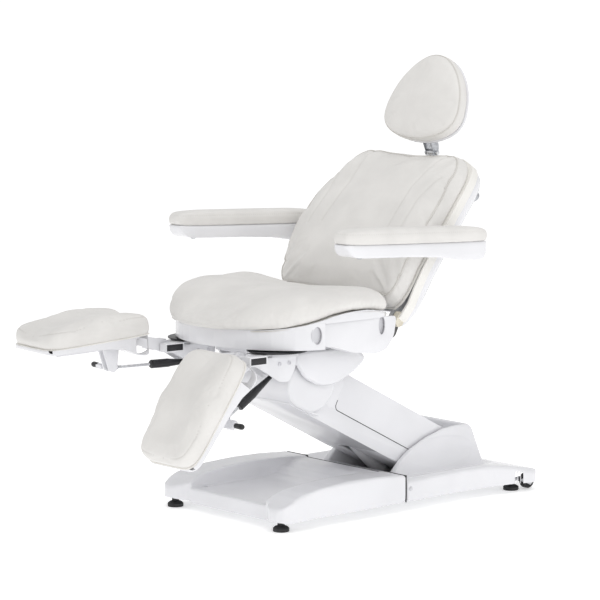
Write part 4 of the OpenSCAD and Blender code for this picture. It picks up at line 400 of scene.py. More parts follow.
def dressed(node, radius):
    thing = newObject(node + ".dressed", cleanCopy(node), finishOf[node], bodyOf[node])
    recessed(thing, node)
    rounding = thing.modifiers.new("rounding", "BEVEL")
    rounding.width, rounding.segments = radius / 1000, 3
    rounding.limit_method, rounding.angle_limit = "ANGLE", math.radians(32)
    rounding.harden_normals = False
    baked(thing)
    if node.startswith("leg_lever"):
        paintedInside(thing)
    smoothByAngle(thing.data, 40)
    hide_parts(node)
    return thing


rigid = {node: dressed(node, radius) for node, radius in moulding.items()}
print("rigid pieces rounded:", len(rigid))


# Making of padded pieces
clothLook = {"stiffness": 20, "bending": 2, "frames": 20}
contourStep = 0.008  # spacing of the points along a piped rim


def remeshed(thing, voxel):
    step = thing.modifiers.new("voxels", "REMESH")
    step.mode, step.voxel_size, step.adaptivity = "VOXEL", voxel, 0
    baked(thing)


def relaxed(thing, times):
    bm = bmesh.new()
    bm.from_mesh(thing.data)
    for _ in range(times):
        bmesh.ops.smooth_vert(
            bm, verts=bm.verts, factor=0.5, use_axis_x=True, use_axis_y=True, use_axis_z=True)
    bm.to_mesh(thing.data)
    bm.free()


def hugged(thing, node, share, place=Matrix()):
    # draws points back onto the solid: share gives 1 where the piece has to meet its neighbour
    bm = cleanCopy(node, 0.01)
    bmesh.ops.transform(bm, matrix=place.inverted(), verts=bm.verts)
    tree = BVHTree.FromBMesh(bm)
    bm.free()
    for v in thing.data.vertices:
        amount = share(v.co)
        if amount > 0.01:
            v.co = v.co.lerp(tree.find_nearest(v.co)[0], amount)


def swollen(thing, pressure, cap, held):
    # blows the closed skin up a little; held is the share, 0 to 1, by which each point stays put
    before = [v.co.copy() for v in thing.data.vertices]
    group = thing.vertex_groups.new(name="held")
    for i, co in enumerate(before):
        group.add([i], held(co), "REPLACE")
    cloth = thing.modifiers.new("cloth", "CLOTH")
    settings = cloth.settings
    settings.use_pressure, settings.uniform_pressure_force = True, pressure
    settings.effector_weights.gravity = 0
    settings.tension_stiffness = settings.compression_stiffness = clothLook["stiffness"]
    settings.bending_stiffness = clothLook["bending"]
    settings.vertex_group_mass = "held"
    cloth.point_cache.frame_start, cloth.point_cache.frame_end = 1, clothLook["frames"]
    for number in range(1, clothLook["frames"] + 1):
        scene.frame_set(number)
    graph = bpy.context.evaluated_depsgraph_get()
    after = thing.evaluated_get(graph).to_mesh()
    moves = [after.vertices[i].co - before[i] for i in range(len(before))]
    thing.modifiers.clear()
    scene.frame_set(1)
    for i, v in enumerate(thing.data.vertices):
        move = moves[i]
        if move.length > cap:
            move = move * (cap / move.length)
        v.co = before[i] + move * (1 - held(before[i]))


def softPad(node, place, name, look, height, shape=None):
    # the soft solid in its own frame, relaxed, swollen above its seam and drawn back onto the solid there;
    # height is how far a point stands over the seam
    bm = cleanCopy(node, 0.01)
    bmesh.ops.transform(bm, matrix=place.inverted(), verts=bm.verts)
    thing = newObject(name, bm, whiteLeather, bodyOf[node])
    remeshed(thing, look["voxel"])
    relaxed(thing, look["smoothing"])
    swollen(thing, look["pressure"], look["cap"], lambda co: 1 - near(height(co), *look["held"]))
    if shape:
        shape(thing)
    if "hugged" in look:
        hugged(thing, node, lambda co: 1 - near(height(co), *look["hugged"]), place)
    finer = thing.modifiers.new("finer", "SUBSURF")
    finer.levels = finer.render_levels = 1
    baked(thing)
    return thing


def evenly(points, step, closed=True):
    if closed and (points[0] - points[-1]).length > 1e-5:
        points = points + [points[0]]
    lengths = [0]
    for a, b in zip(points, points[1:]):
        lengths.append(lengths[-1] + (b - a).length)
    count = max(8, round(lengths[-1] / step))
    made, i = [], 0
    for k in range(count + (0 if closed else 1)):
        target = lengths[-1] * k / count
        while i < len(points) - 2 and lengths[i + 1] < target:
            i += 1
        share = (target - lengths[i]) / max(1e-9, lengths[i + 1] - lengths[i])
        made.append(points[i].lerp(points[i + 1], min(1, share)))
    return made


def contour(thing, height):
    # the loop of points where the skin crosses the surface z = height(y), in the part's own frame
    bm = bmesh.new()
    bm.from_mesh(thing.data)
    for v in bm.verts:
        v.co.z -= height(v.co.y)
    cut = bmesh.ops.bisect_plane(bm, geom=allOf(bm), plane_co=(0, 0, 0), plane_no=(0, 0, 1))
    edges = {e for e in cut["geom_cut"] if isinstance(e, bmesh.types.BMEdge)}
    loops = []
    while edges:
        # each loop starts at its outermost edge, so that every run gives the same points
        edge = max(edges, key=lambda e: (e.verts[0].co + e.verts[1].co)[:])
        edges.discard(edge)
        loop = sorted(edge.verts, key=lambda v: v.co[:])
        while True:
            follow = [e for e in loop[-1].link_edges if e in edges]
            if not follow:
                break
            edges.discard(follow[0])
            loop.append(follow[0].other_vert(loop[-1]))
        loops.append([v.co.copy() for v in loop])
    bm.free()
    points = max(loops, key=len)
    for point in points:
        point.z += height(point.y)
    return evenly(points, contourStep)


def grooved(thing, lines, depth, width, darkening):
    # presses each line into the skin and darkens it towards the seam shade colour, as painted shade in the
    # groove
    tree = KDTree(sum(len(line) for line in lines))
    for i, point in enumerate(point for line in lines for point in line):
        tree.insert(point, i)
    tree.balance()
    mesh = thing.data
    seam = mesh.attributes.get("seam") or mesh.attributes.new("seam", "FLOAT", "POINT")
    normals = [v.normal.copy() for v in mesh.vertices]
    for i, v in enumerate(mesh.vertices):
        distance = tree.find(v.co)[2]
        if distance < width * 3:
            v.co -= normals[i] * depth * math.exp(-(distance / width) ** 2)
            paintedShade = darkening * math.exp(-(distance / (width * 0.55)) ** 2)
            seam.data[i].value = max(seam.data[i].value, paintedShade)


def rippled(thing, amount, size, where=lambda co: 1):
    # slight wrinkles: where gives the share of the full amount at a point
    mesh = thing.data
    normals = [v.normal.copy() for v in mesh.vertices]
    for i, v in enumerate(mesh.vertices):
        share = where(v.co)
        if share > 0.01:
            at = Vector((v.co.x / size[0], v.co.y / size[1], v.co.z / size[2]))
            v.co += normals[i] * amount * share * noise.noise(at)


def piped(name, loop, radius, material, body, closed=True):
    curve = bpy.data.curves.new(name, "CURVE")
    curve.dimensions = "3D"
    spline = curve.splines.new("POLY")
    spline.points.add(len(loop) - 1)
    for i, point in enumerate(loop):
        spline.points[i].co = (*point, 1)
    spline.use_cyclic_u = closed
    curve.bevel_depth, curve.bevel_resolution = radius, 3
    holder = bpy.data.objects.new(name + "Curve", curve)
    scene.collection.objects.link(holder)
    graph = bpy.context.evaluated_depsgraph_get()
    mesh = bpy.data.meshes.new_from_object(holder.evaluated_get(graph))
    bpy.data.objects.remove(holder)
    thing = bpy.data.objects.new(name, mesh)
    scene.collection.objects.link(thing)
    mesh.materials.clear()
    mesh.materials.append(material)
    smoothAll(thing)
    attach(thing, body)
    return thing


def edged(node, place, name, seam, low, high, share=lambda y: 1, first=-1):
    # a thin sheet as wide as the cushion, which closes the crevice between it and its shell
    bm = cleanCopy(node, 0.01)
    bmesh.ops.transform(bm, matrix=place.inverted(), verts=bm.verts)
    rises = [v.co.z - seam(v.co.y) for v in bm.verts]
    for v, rise in zip(bm.verts, rises):
        v.co.z = seam(v.co.y) + low + (high - low) * near(rise, min(rises), max(rises))
        v.co.x *= share(v.co.y)
        v.co.y = max(first, v.co.y)
    thing = newObject(name, bm, litBandLeather, bodyOf[node])
    smoothByAngle(thing.data, 35)
    placed(thing, place)


def copied(thing, name, body):
    twin = bpy.data.objects.new(name, thing.data.copy())
    scene.collection.objects.link(twin)
    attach(twin, body)
    return twin


# Seat cushion: one puffed form, gathered a little above the rim at its front corners
seatLook = {
    "voxel": 0.006, "smoothing": 14, "pressure": 3, "cap": 0.008, "held": (0.004, 0.03),
    "hugged": (0.006, 0.028), "fill": 0.75,
    # the rim's height: lowest z, rise, and shares of the rise along the seat from its front end
    "rimZ": 0.490, "rise": 0.096, "front": 0.079, "length": 0.424,
    "seamHeights": [(0, 0.52), (0.19, 0.6), (0.31, 0.7), (0.42, 0.82), (0.52, 0.93), (0.65, 0.99), (0.8, 1),
                    (0.9, 0.93), (1, 0.82), (1.3, 0.7)],
    "rearFill": 0.42, "rear": (0.2, 0.33),
    "gather": 0.0016, "gatherSize": (0.012, 0.012, 0.05), "gatherFrom": (0.001, 0.012),
    "gatherTo": (0.025, 0.06), "slack": 0.0012, "slackSize": (0.09, 0.05, 0.09),
    "creases": [
        [(0.29, -0.004, 0.512), (0.285, -0.012, 0.545), (0.262, -0.018, 0.575), (0.225, -0.022, 0.59)],
        [(0.29, 0.022, 0.520), (0.28, 0.016, 0.545)],
        [(0.29, -0.035, 0.512), (0.285, -0.030, 0.535)]],
    "creaseDepth": 0.0026, "creaseWidth": 0.009, "creaseStep": 0.006,
    "edge": (-0.004, -0.001), "edgeShares": [(0.0, 0.94), (0.12, 0.95), (0.2, 0.985), (0.3, 1)],
    "edgeFirst": -0.045,
}


def seatRim(y):
    along = (y + seatLook["front"]) / seatLook["length"]
    return seatLook["rimZ"] + seatLook["rise"] * lookup(seatLook["seamHeights"], along)


def overRim(co):
    return co.z - seatRim(co.y)


def fullerRear(thing):
    for v in thing.data.vertices:
        low = seatRim(v.co.y)
        v.co.z = low + (v.co.z - low) * (1 + seatLook["rearFill"] * near(v.co.y, *seatLook["rear"]))


def gathering(co):
    rise = overRim(co)
    return near(rise, *seatLook["gatherFrom"]) * (1 - near(rise, *seatLook["gatherTo"]))


seat = softPad("seat_cushion", seatPlace, "seatCushion", seatLook, overRim, fullerRear)
rippled(seat, seatLook["gather"], seatLook["gatherSize"], gathering)
rippled(seat, seatLook["slack"], seatLook["slackSize"])
tree = skinTree(seat)
creases = []
for side, _ in sides:
    for line in seatLook["creases"]:
        points = [Vector((side * x, y, z)) for x, y, z in line]
        points = evenly(points, seatLook["creaseStep"], closed=False)
        creases.append([tree.find_nearest(point)[0] for point in points])
grooved(seat, creases, seatLook["creaseDepth"], seatLook["creaseWidth"], 0)
smoothAll(seat)
placed(seat, seatPlace)
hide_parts("seat_cushion")
edged("seat_cushion", seatPlace, "seatEdge", seatRim, *seatLook["edge"],
      lambda y: lookup(seatLook["edgeShares"], y), seatLook["edgeFirst"])
print("seat cushion made:", len(seat.data.polygons), "faces")

# Back cushion: side band, corded front rim, two long tucks beside the middle panel
backLook = {
    "voxel": 0.006, "smoothing": 10, "pressure": 2.5, "cap": 0.008, "held": (0.006, 0.03),
    "hugged": (0.004, 0.026), "fill": 0.7, "padHeight": 0.062, "rimShare": 0.80,
    # shares of the pad's height at which the seam stands, along the back from its lower end
    "foot": 0.032, "length": 0.505,
    "seamHeights": [(0, 0.25), (0.1, 0.42), (0.25, 0.58), (0.42, 0.58), (0.6, 0.36), (0.72, 0.14),
                    (0.85, -0.14), (1, -0.46), (1.2, -0.7)],
    # the darkening shares of the cord's and the tucks' grooves below are painted shade
    "cord": 0.0022, "cordDepth": 0.0016, "cordWidth": 0.004, "cordShade": 0.5,
    "tucks": [
        [(0.150, 0.500), (0.128, 0.380), (0.138, 0.240)],
        [(0.205, 0.430), (0.186, 0.340), (0.190, 0.230)]],
    "tuckDepth": 0.0018, "tuckWidth": 0.006, "tuckShade": 0.25, "tuckStep": 0.006,
    "slack": 0.0014, "slackSize": (0.05, 0.14, 0.1), "edge": (-0.002, 0.002),
    "wrap": 0.026, "wrapSkin": 0.0014, "longEdge": 0.05,
}
above = 0.3  # a height over every pad, from which points are dropped onto its skin


def backSeam(y):
    along = (y - backLook["foot"]) / backLook["length"]
    return backLook["padHeight"] * lookup(backLook["seamHeights"], along)


back = softPad("back_cushion", backPlace, "backCushion", backLook, lambda co: co.z - backSeam(co.y))
rim = contour(back, lambda y: backSeam(y) + backLook["padHeight"] * backLook["rimShare"])
tree = skinTree(back)
tucks = []
for side, _ in sides:
    for line in backLook["tucks"]:
        points = evenly([Vector((side * x, y, above)) for x, y in line], backLook["tuckStep"], closed=False)
        hits = [tree.ray_cast(point, Vector((0, 0, -1)))[0] for point in points]
        tucks.append([hit for hit in hits if hit])
grooved(back, [rim], backLook["cordDepth"], backLook["cordWidth"], backLook["cordShade"])
grooved(back, tucks, backLook["tuckDepth"], backLook["tuckWidth"], backLook["tuckShade"])
rippled(back, backLook["slack"], backLook["slackSize"])
smoothAll(back)
backRim = piped("backPiping", rim, backLook["cord"], shadedPipingLeather, "back")


def shellBand():
    # the leather band that is turned over the rim of the back shell: the shell's upper strip, a skin larger
    bm = cleanCopy("back_shell")
    bmesh.ops.transform(bm, matrix=backPlace.inverted(), verts=bm.verts)
    longEdges = [e for e in bm.edges if e.calc_length() > backLook["longEdge"]]
    bmesh.ops.subdivide_edges(bm, edges=longEdges, cuts=2, use_grid_fill=True)
    for v in bm.verts:
        v.co.z -= backSeam(v.co.y)
    bmesh.ops.bisect_plane(
        bm, geom=allOf(bm), plane_co=(0, 0, -backLook["wrap"]), plane_no=(0, 0, -1), clear_outer=True)
    for v in bm.verts:
        v.co.z += backSeam(v.co.y)
    bm.normal_update()
    for v in bm.verts:
        v.co += v.normal * backLook["wrapSkin"]
    return bm


backWrap = newObject("backWrap", shellBand(), litBandLeather, "back")
smoothByAngle(backWrap.data, 50)
for thing in (backWrap, back, backRim):
    placed(thing, backPlace)
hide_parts("back_cushion")
edged("back_cushion", backPlace, "backEdge", backSeam, *backLook["edge"])
print("back cushion made:", len(back.data.polygons), "faces")

# Headrest: egg shaped pad with a corded rim
headLook = {
    "voxel": 0.005, "smoothing": 12, "pressure": 2.5, "cap": 0.006, "held": (0.058, 0.074), "fill": 0.75,
    # the darkening share of the cord's groove is painted shade
    "rim": 0.086, "cord": 0.0018, "cordDepth": 0.0014, "cordWidth": 0.0035, "cordShade": 0.5,
}
head = softPad("headrest_cushion", headPlace, "headrestCushion", headLook, lambda co: co.z)
rim = contour(head, lambda y: headLook["rim"])
grooved(head, [rim], headLook["cordDepth"], headLook["cordWidth"], headLook["cordShade"])
smoothAll(head)
headCord = piped(
    "headrestPiping", rim, headLook["cord"], shadedPipingLeather, "headrest")
for thing in (head, headCord):
    placed(thing, headPlace)
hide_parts("headrest_cushion")

# Armrest pads: the left one is made and carried over to the right
armrestLook = {
    "voxel": 0.004, "smoothing": 6, "pressure": 2, "cap": 0.003, "held": (0.028, 0.04),
    "hugged": (0.026, 0.036), "fill": 0.7, "rim": 0.052, "seamDepth": 0.0008, "seamWidth": 0.0025,
    # the darkening share of the seam's groove is painted shade
    "seamShade": 0.35, "coverTop": 0.024, "coverReach": 0.008,
}
pad = softPad("armrest_pad_left", armrestPlace(1), "armrestPad.left", armrestLook, lambda co: co.z)
rim = contour(pad, lambda y: armrestLook["rim"])
grooved(pad, [rim], armrestLook["seamDepth"], armrestLook["seamWidth"], armrestLook["seamShade"])
smoothAll(pad)
twin = copied(pad, "armrestPad.right", "armrest_right")
for thing, side, node in ((pad, 1, "armrest_pad_left"), (twin, -1, "armrest_pad_right")):
    placed(thing, armrestPlace(side))
    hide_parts(node)

# Leg pads: hollowed along the middle, seamed round the top panel
legLook = {
    "voxel": 0.0045, "smoothing": 8, "pressure": 2.5, "cap": 0.005, "held": (0.06, 0.08),
    "hugged": (0.059, 0.075), "fill": 0.75, "seam": 0.058, "edge": (-0.003, 0.001),
    # outline of the top panel: half sizes, where its middle lies, its taper and how square its corners are
    "rimShare": 0.94, "halfWidth": 0.107, "halfLength": 0.1675, "middle": -0.1955, "taper": 0.06,
    # the darkening share of the panel seam's groove is painted shade
    "corner": 0.3, "points": 180, "seamDepth": 0.0012, "seamWidth": 0.0032, "seamShade": 0.45,
}
pad = softPad("leg_pad_left", legPlace(1), "legPad.left", legLook, lambda co: co.z)


def legPanel(tree):
    made = []
    for step in range(legLook["points"]):
        turn = 2 * math.pi * step / legLook["points"]
        c, s = math.cos(turn), math.sin(turn)
        x = legLook["rimShare"] * legLook["halfWidth"] * math.copysign(abs(c) ** legLook["corner"], c)
        y = legLook["rimShare"] * legLook["halfLength"] * math.copysign(abs(s) ** legLook["corner"], s)
        x *= 1 - legLook["taper"] * max(0, y / (legLook["halfLength"] * 2))
        hit = tree.ray_cast(Vector((x, y + legLook["middle"], above)), Vector((0, 0, -1)))[0]
        if hit:
            made.append(hit)
    return made


grooved(pad, [legPanel(skinTree(pad))], legLook["seamDepth"], legLook["seamWidth"], legLook["seamShade"])
smoothAll(pad)
twin = copied(pad, "legPad.right", "leg_pad_right")
for thing, (side, label) in zip((pad, twin), sides):
    placed(thing, legPlace(side))
    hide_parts("leg_pad_" + label)
    edged("leg_pad_" + label, legPlace(side), "legEdge." + label, lambda y: legLook["seam"], *legLook["edge"])
print("headrest, armrest and leg pads made")

# Thin walled covers, remeshed and relaxed so that their edges get large soft radii
softMoulding = {  # voxel in mm, times relaxed
    "headrest_shell": (3, 8), "front_cover": (3, 7), "rear_cover": (3, 7), "armrest_cover_left": (2.5, 12),
    "armrest_cover_right": (2.5, 12),
}
# shallow dish in each side of the rear cover's hump: its middle, half sizes, depth and where the side starts
humpLook = {"y": 0.675, "z": 0.128, "length": 0.13, "height": 0.042, "depth": 0.006, "side": 0.132}


def underPad(place):
    # 1 at the seam along the top of an armrest's cover, 0 from coverReach under it
    top, reach, back = armrestLook["coverTop"], armrestLook["coverReach"], place.inverted()
    return lambda co: near((back @ co).z, top - reach, top - reach * 0.4)


def dished(thing):
    for v in thing.data.vertices:
        along = (v.co.y - shift - humpLook["y"]) / humpLook["length"]
        reach = math.hypot(along, (v.co.z - humpLook["z"]) / humpLook["height"])
        if abs(v.co.x) > humpLook["side"] and reach < 1:
            v.co.x -= math.copysign(humpLook["depth"] * (1 - reach ** 2) ** 0.6, v.co.x)


def softened(node, voxel, times):
    thing = newObject(node + ".dressed", cleanCopy(node, 0.01), finishOf[node], bodyOf[node])
    remeshed(thing, voxel / 1000)
    relaxed(thing, times)
    for side, label in sides:
        if node == "armrest_cover_" + label:
            hugged(thing, node, underPad(armrestPlace(side)))
    if node == "rear_cover":
        dished(thing)
    smoothAll(thing)
    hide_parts(node)
    print("softened", node, len(thing.data.polygons))


for node, (voxel, times) in softMoulding.items():
    softened(node, voxel, times)

# Lobed covers: thick rounded cheeks from the outline of the solid's outer faces, and the apron between them
lobeLook = {
    "thickness": {"carriage": 0.014, "armHead": 0.0255}, "radius": 0.009, "segments": 5, "step": 0.004,
    "rounds": 5, "rear": 0.088, "apronRear": 0.076, "apronInset": 0.006,
}


def outerFace(node, side):
    # how far out the solid reaches on one side, and the outline of its face there
    bm = cleanCopy(node)
    reach = max(side * v.co.x for v in bm.verts)
    flat = [f for f in bm.faces if all(abs(side * v.co.x - reach) < 1e-5 for v in f.verts)]
    points = [v.co.copy() for v in max(flat, key=lambda f: f.calc_area()).verts]
    bm.free()
    return reach, points


def rounded(points, times):
    for _ in range(times):
        before, after = points[-1:] + points[:-1], points[1:] + points[:1]
        points = [(a + b * 2 + c) / 4 for a, b, c in zip(before, points, after)]
    return points


def trimmedBy(bm, planes):
    for place, normal in planes:
        bmesh.ops.bisect_plane(bm, geom=allOf(bm), plane_co=place, plane_no=normal, clear_outer=True)
        bmesh.ops.holes_fill(bm, edges=[e for e in bm.edges if e.is_boundary], sides=0)


def cheekFrom(outline, side, reach, thickness):
    bm = bmesh.new()
    face = bm.faces.new([bm.verts.new((side * (reach - thickness), v.y, v.z)) for v in outline])
    grown = bmesh.ops.extrude_face_region(bm, geom=[face], use_keep_orig=True)
    pushed(bm, grown, (side * thickness, 0, 0))
    outer = [e for e in bm.edges if all(abs(side * v.co.x - reach) < 1e-5 for v in e.verts)]
    bmesh.ops.bevel(bm, geom=outer, offset=lobeLook["radius"], segments=lobeLook["segments"], profile=0.5,
                    affect="EDGES", material=-1, clamp_overlap=False)
    bmesh.ops.recalc_face_normals(bm, faces=bm.faces)
    return bm


def lobed(node, name, shape, planes):
    body, slot, thickness = bodyOf[node], slotOf[node], lobeLook["thickness"][name]
    inner = outerFace(node, 1)[0] - lobeLook["apronInset"]
    apron = cleanCopy(node)
    trimmedBy(apron, [((inner, 0, 0), (1, 0, 0)), ((-inner, 0, 0), (-1, 0, 0))] + planes)
    middle = newObject(name + "Apron", apron, whiteAbs, body)
    smoothByAngle(middle.data, 40)
    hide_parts(node)
    for side, label in sides:
        reach, outline = outerFace(node, side)
        outline = rounded(shape(evenly(outline, lobeLook["step"])[:-1]), lobeLook["rounds"])
        cheek = newObject(
            name + "Cheek." + label, cheekFrom(outline, side, reach, thickness), whiteAbs, body)
        smoothByAngle(cheek.data, 40)
        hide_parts(node)


def roundRear(points):
    # draws the rear of the head cover's cheeks in to a circle round the upper pivot
    back, rear, made = armPlace.inverted(), lobeLook["rear"], []
    for point in points:
        q = back @ point
        along, rise = q.y + placing["liftReach"], q.z
        distance = math.hypot(along, rise)
        if along > 0 and distance > rear:
            q.y, q.z = along * rear / distance - placing["liftReach"], rise * rear / distance
        made.append(armPlace @ q)
    return evenly(made, lobeLook["step"])[:-1]


cutPlace = armPlace @ Vector((0, lobeLook["apronRear"] - placing["liftReach"], 0))
cutNormal = armPlace.to_3x3() @ Vector((0, 1, 0))
lobed("carriage_cover", "carriage", lambda points: points, [])
lobed("arm_head_cover", "armHead", roundRear, [(cutPlace, cutNormal)])
print("lobed covers made")


# Small fittings
def fitting(name, bm, material, body, matrix):
    bmesh.ops.transform(bm, matrix=matrix, verts=bm.verts)
    thing = newObject(name, bm, material, body)
    smoothByAngle(thing.data, 35)


def screwHead(radius, height):
    # a pan head with a hexagon socket, standing up from z = 0
    bm = bmesh.new()
    bmesh.ops.create_circle(bm, cap_ends=True, radius=radius, segments=32)
    grown = bmesh.ops.extrude_face_region(bm, geom=bm.faces[:])
    pushed(bm, grown, (0, 0, height * 0.7))
    face = [f for f in grown["geom"] if isinstance(f, bmesh.types.BMFace)][0]
    # the crown in two steps, the flat round the socket, the socket's edge and its floor
    for inset, rise in ((0.14, 0.22), (0.22, 0.08), (0.14, 0), (0.02, -0.5)):
        bmesh.ops.inset_region(bm, faces=[face], thickness=radius * inset, depth=height * rise)
    bmesh.ops.recalc_face_normals(bm, faces=bm.faces)
    return bm


def roundedBlock(size, radius):
    bm = bmesh.new()
    bmesh.ops.create_cube(bm, size=1)
    bmesh.ops.scale(bm, vec=size, verts=bm.verts)
    bmesh.ops.bevel(
        bm, geom=bm.edges, offset=radius, segments=3, profile=0.5, affect="EDGES", material=-1)
    return bm


# Screws of the two-bolt cheeks and plugs in the ends of the hinge bar, in the frame of the swivel
cheekLook = {
    "screws": ((-0.022, 0.451), (0.012, 0.451)), "screw": (0.0055, 0.0035), "cheek": 0.035,
    "plug": (0.006, 0.0536, 0.0176), "plugRadius": 0.0012, "barEnd": 0.0565,
}
for side, label in sides:
    body = "swivel_" + label
    for across, end in ((1, "a"), (-1, "b")):
        for number, (y, z) in enumerate(cheekLook["screws"]):
            fitting("cheekScrew." + label + str(number) + end, screwHead(*cheekLook["screw"]), shadedCapAbs, body,
                    swivelPlace(side) @ moved(across * cheekLook["cheek"], y, z) @ turned("Y", 90 * across))
        fitting("tubePlug." + label + end, roundedBlock(cheekLook["plug"], cheekLook["plugRadius"]),
                blackPaint, body, swivelPlace(side) @ moved(
                    across * cheekLook["barEnd"], -placing["legReach"], placing["legHeight"]))


# Arm: closing plates under its foot beside the slot for the actuator, side walls between the top panel
# and the head cover's cheeks, and a dark line of painted shade along the seam with its hooked corner; low and
# high ends in its own frame
armLook = {
    "floor": {"left": (0.012, 0.1215), "right": (-0.1215, -0.05)}, "floorY": (-0.245, -0.03),
    "floorZ": (-0.0818, -0.0762), "floorRadius": 0.0015,
    "shoulder": {"left": (0.1212, 0.12515), "right": (-0.12515, -0.1212)}, "shoulderY": (-0.530, -0.4525),
    "shoulderZ": (-0.0332, 0.050), "shoulderRadius": 0.0004,
    "seamZ": -0.0325, "seamFrom": -0.04, "seamTo": -0.452, "seamTop": -0.006, "corner": 0.014,
    "cornerTurn": 15, "side": 0.1249, "line": 0.0011,
}


def armPlates(kind):
    (yLow, yHigh), (zLow, zHigh) = armLook[kind + "Y"], armLook[kind + "Z"]
    for label, (xLow, xHigh) in armLook[kind].items():
        block = roundedBlock((xHigh - xLow, yHigh - yLow, zHigh - zLow), armLook[kind + "Radius"])
        fitting("arm" + kind.capitalize() + "." + label, block, whiteAbs, "arm",
                armPlace @ moved((xLow + xHigh) / 2, (yLow + yHigh) / 2, (zLow + zHigh) / 2))


armPlates("floor")
armPlates("shoulder")
line, corner = [(armLook["seamFrom"], armLook["seamZ"])], armLook["corner"]
for degrees in range(0, 91, armLook["cornerTurn"]):
    turn = math.radians(degrees)
    line.append((armLook["seamTo"] + corner * (1 - math.sin(turn)),
                 armLook["seamZ"] + corner * (1 - math.cos(turn))))
line.append((armLook["seamTo"], armLook["seamTop"]))
for side, label in sides:
    points = [Vector((side * armLook["side"], y, z)) for y, z in line]
    seamShadeLine = piped("armSeamShade." + label, points, armLook["line"], shadowGap, "arm",
                     closed=False)
    placed(seamShadeLine, armPlace)

# Apron over the pit in front of the arm's foot, below the arm's lowest place, open for the actuator
pitLook = {
    "profile": [(0.440, 0.0868), (0.468, 0.0862), (0.495, 0.084), (0.530, 0.0735), (0.565, 0.062)],
    "wall": 0.003,
    # low and high end across, and how many of the profile's points each strip has
    "strips": {"left": (0.010, 0.1285, 5), "right": (-0.1285, -0.050, 5), "middle": (-0.052, 0.012, 3)},
}


def pitStrip(xLow, xHigh, count):
    bm = bmesh.new()
    row = [bm.verts.new((xLow, y + shift, z)) for y, z in pitLook["profile"][:count]]
    edges = [bm.edges.new(pair) for pair in zip(row, row[1:])]
    pushed(bm, bmesh.ops.extrude_edge_only(bm, edges=edges), (xHigh - xLow, 0, 0))
    bmesh.ops.recalc_face_normals(bm, faces=bm.faces)
    if bm.faces[:][0].normal.z < 0:
        bmesh.ops.reverse_faces(bm, faces=bm.faces)
    bmesh.ops.solidify(bm, geom=bm.faces[:], thickness=pitLook["wall"])
    bmesh.ops.recalc_face_normals(bm, faces=bm.faces)
    return bm


for label, strip in pitLook["strips"].items():
    fitting("pitApron." + label, pitStrip(*strip), whiteAbs, "base", Matrix())

# Painted shade: a dark sheet in the gap between the two halves of the base, cut to the front cover's section
gapShadeLook = {"y": 0.1962, "thickness": 0.0016, "cutY": 0.190, "share": 0.994}
bm = cleanCopy("front_cover")
bmesh.ops.bisect_plane(bm, geom=allOf(bm), plane_co=(0, gapShadeLook["cutY"], 0), plane_no=(0, 1, 0),
                       clear_outer=True, clear_inner=True)
bmesh.ops.triangle_fill(bm, use_beauty=True, use_dissolve=False, edges=bm.edges[:])
bmesh.ops.translate(bm, vec=(0, gapShadeLook["y"] - gapShadeLook["cutY"], 0), verts=bm.verts)
bmesh.ops.scale(bm, vec=(gapShadeLook["share"], 1, gapShadeLook["share"]), verts=bm.verts)
grown = bmesh.ops.extrude_face_region(bm, geom=bm.faces[:], use_keep_orig=True)
pushed(bm, grown, (0, gapShadeLook["thickness"], 0))
bmesh.ops.recalc_face_normals(bm, faces=bm.faces)
fitting("baseGapShade", bm, shadowGap, "base", Matrix())

# Floors of the oval recesses, set back from the wall that stands round each, in the greyer cap colour as
# painted shade
for kind, (y, z, a, b) in recessLook["ovals"].items():
    for side, label in sides:
        wall = rigid[kind if kind == "seat_shell" else kind + "_" + label]
        wallA, wallB = a * recessLook["wallShares"][0], b * recessLook["wallShares"][1]
        top = max(side * v.co.x for v in wall.data.vertices
                  if abs(v.co.y - shift - y) < wallA and abs(v.co.z - z) < wallB)
        ends = sorted(side * (top - depth) for depth in recessLook["floor"])
        floorA, floorB = a * recessLook["floorShares"][0], b * recessLook["floorShares"][1]
        floorPiece = newObject("recessFloor." + kind + "." + label, ovalPlug(y, z, floorA, floorB, *ends),
                               shadedCapAbs, "seat")
        smoothByAngle(floorPiece.data, 35)
print("fittings added")

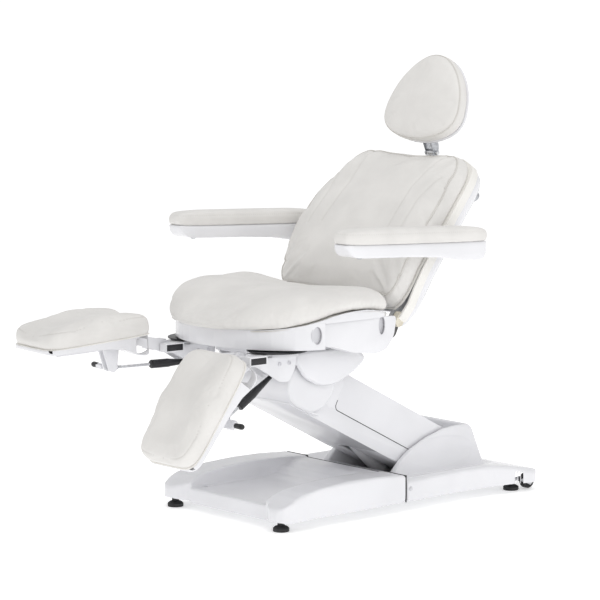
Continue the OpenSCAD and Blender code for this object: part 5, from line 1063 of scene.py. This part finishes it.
# Floor, light and camera
stageLook = {
    "floorColour": "#F7F7F7", "floorRoughness": 0.9, "floorGlow": 0.4, "floorReach": 250, "world": 0.74,
    "lights": {  # power, width, place and what it points at
        "keySoftbox": (20, 2.5, (3.6, -1.0, 2.0), (0, 0, 0.4)),
        "fillSoftbox": (3, 3.0, (-2.6, -3.2, 1.8), (0, 0, 0.5)),
        "topSoftbox": (16, 3.0, (0.3, 0.4, 3.6), (0, 0, 0.4)),
    },
}
cameraLook = {"place": (5.80574, -5.07008, 1.56339), "azimuth": 48.734, "elevation": 7.2285, "lens": 167.4}


def lit(name, energy, size, position, target):
    light = bpy.data.lights.new(name, "AREA")
    light.shape, light.size, light.energy = "DISK", size, energy
    lamp = bpy.data.objects.new(name, light)
    scene.collection.objects.link(lamp)
    lamp.location = position
    lamp.rotation_mode = "QUATERNION"
    lamp.rotation_quaternion = (Vector(target) - Vector(position)).to_track_quat("-Z", "Y")


bm = bmesh.new()
bmesh.ops.create_grid(bm, x_segments=1, y_segments=1, size=stageLook["floorReach"])
mesh = bpy.data.meshes.new("floor")
bm.to_mesh(mesh)
bm.free()
floor = bpy.data.objects.new("floor", mesh)
scene.collection.objects.link(floor)
floorPaint, _, floorShader, _ = startMaterial("floorPaint")
floorShader.inputs["Base Color"].default_value = linear(stageLook["floorColour"])
floorShader.inputs["Roughness"].default_value = stageLook["floorRoughness"]
floorShader.inputs["Emission Color"].default_value = (1, 1, 1, 1)
floorShader.inputs["Emission Strength"].default_value = stageLook["floorGlow"]
mesh.materials.append(floorPaint)
world = bpy.data.worlds.new("studio")
world.use_nodes = True
background = world.node_tree.nodes["Background"]
background.inputs["Color"].default_value = (1, 1, 1, 1)
background.inputs["Strength"].default_value = stageLook["world"]
scene.world = world
for name, light in stageLook["lights"].items():
    lit(name, *light)
scene.view_settings.view_transform = "Standard"

camera = bpy.data.objects.new("camera", bpy.data.cameras.new("camera"))
scene.collection.objects.link(camera)
a, e = math.radians(cameraLook["azimuth"]), math.radians(cameraLook["elevation"])
backwards = Vector((math.sin(a) * math.cos(e), -math.cos(a) * math.cos(e), math.sin(e)))
camera.location = cameraLook["place"]
camera.rotation_mode = "QUATERNION"
camera.rotation_quaternion = (-backwards).to_track_quat("-Z", "Y")
camera.data.sensor_width, camera.data.lens = 36, cameraLook["lens"]
camera.data.clip_end = 100
scene.camera = camera
print("stage set")
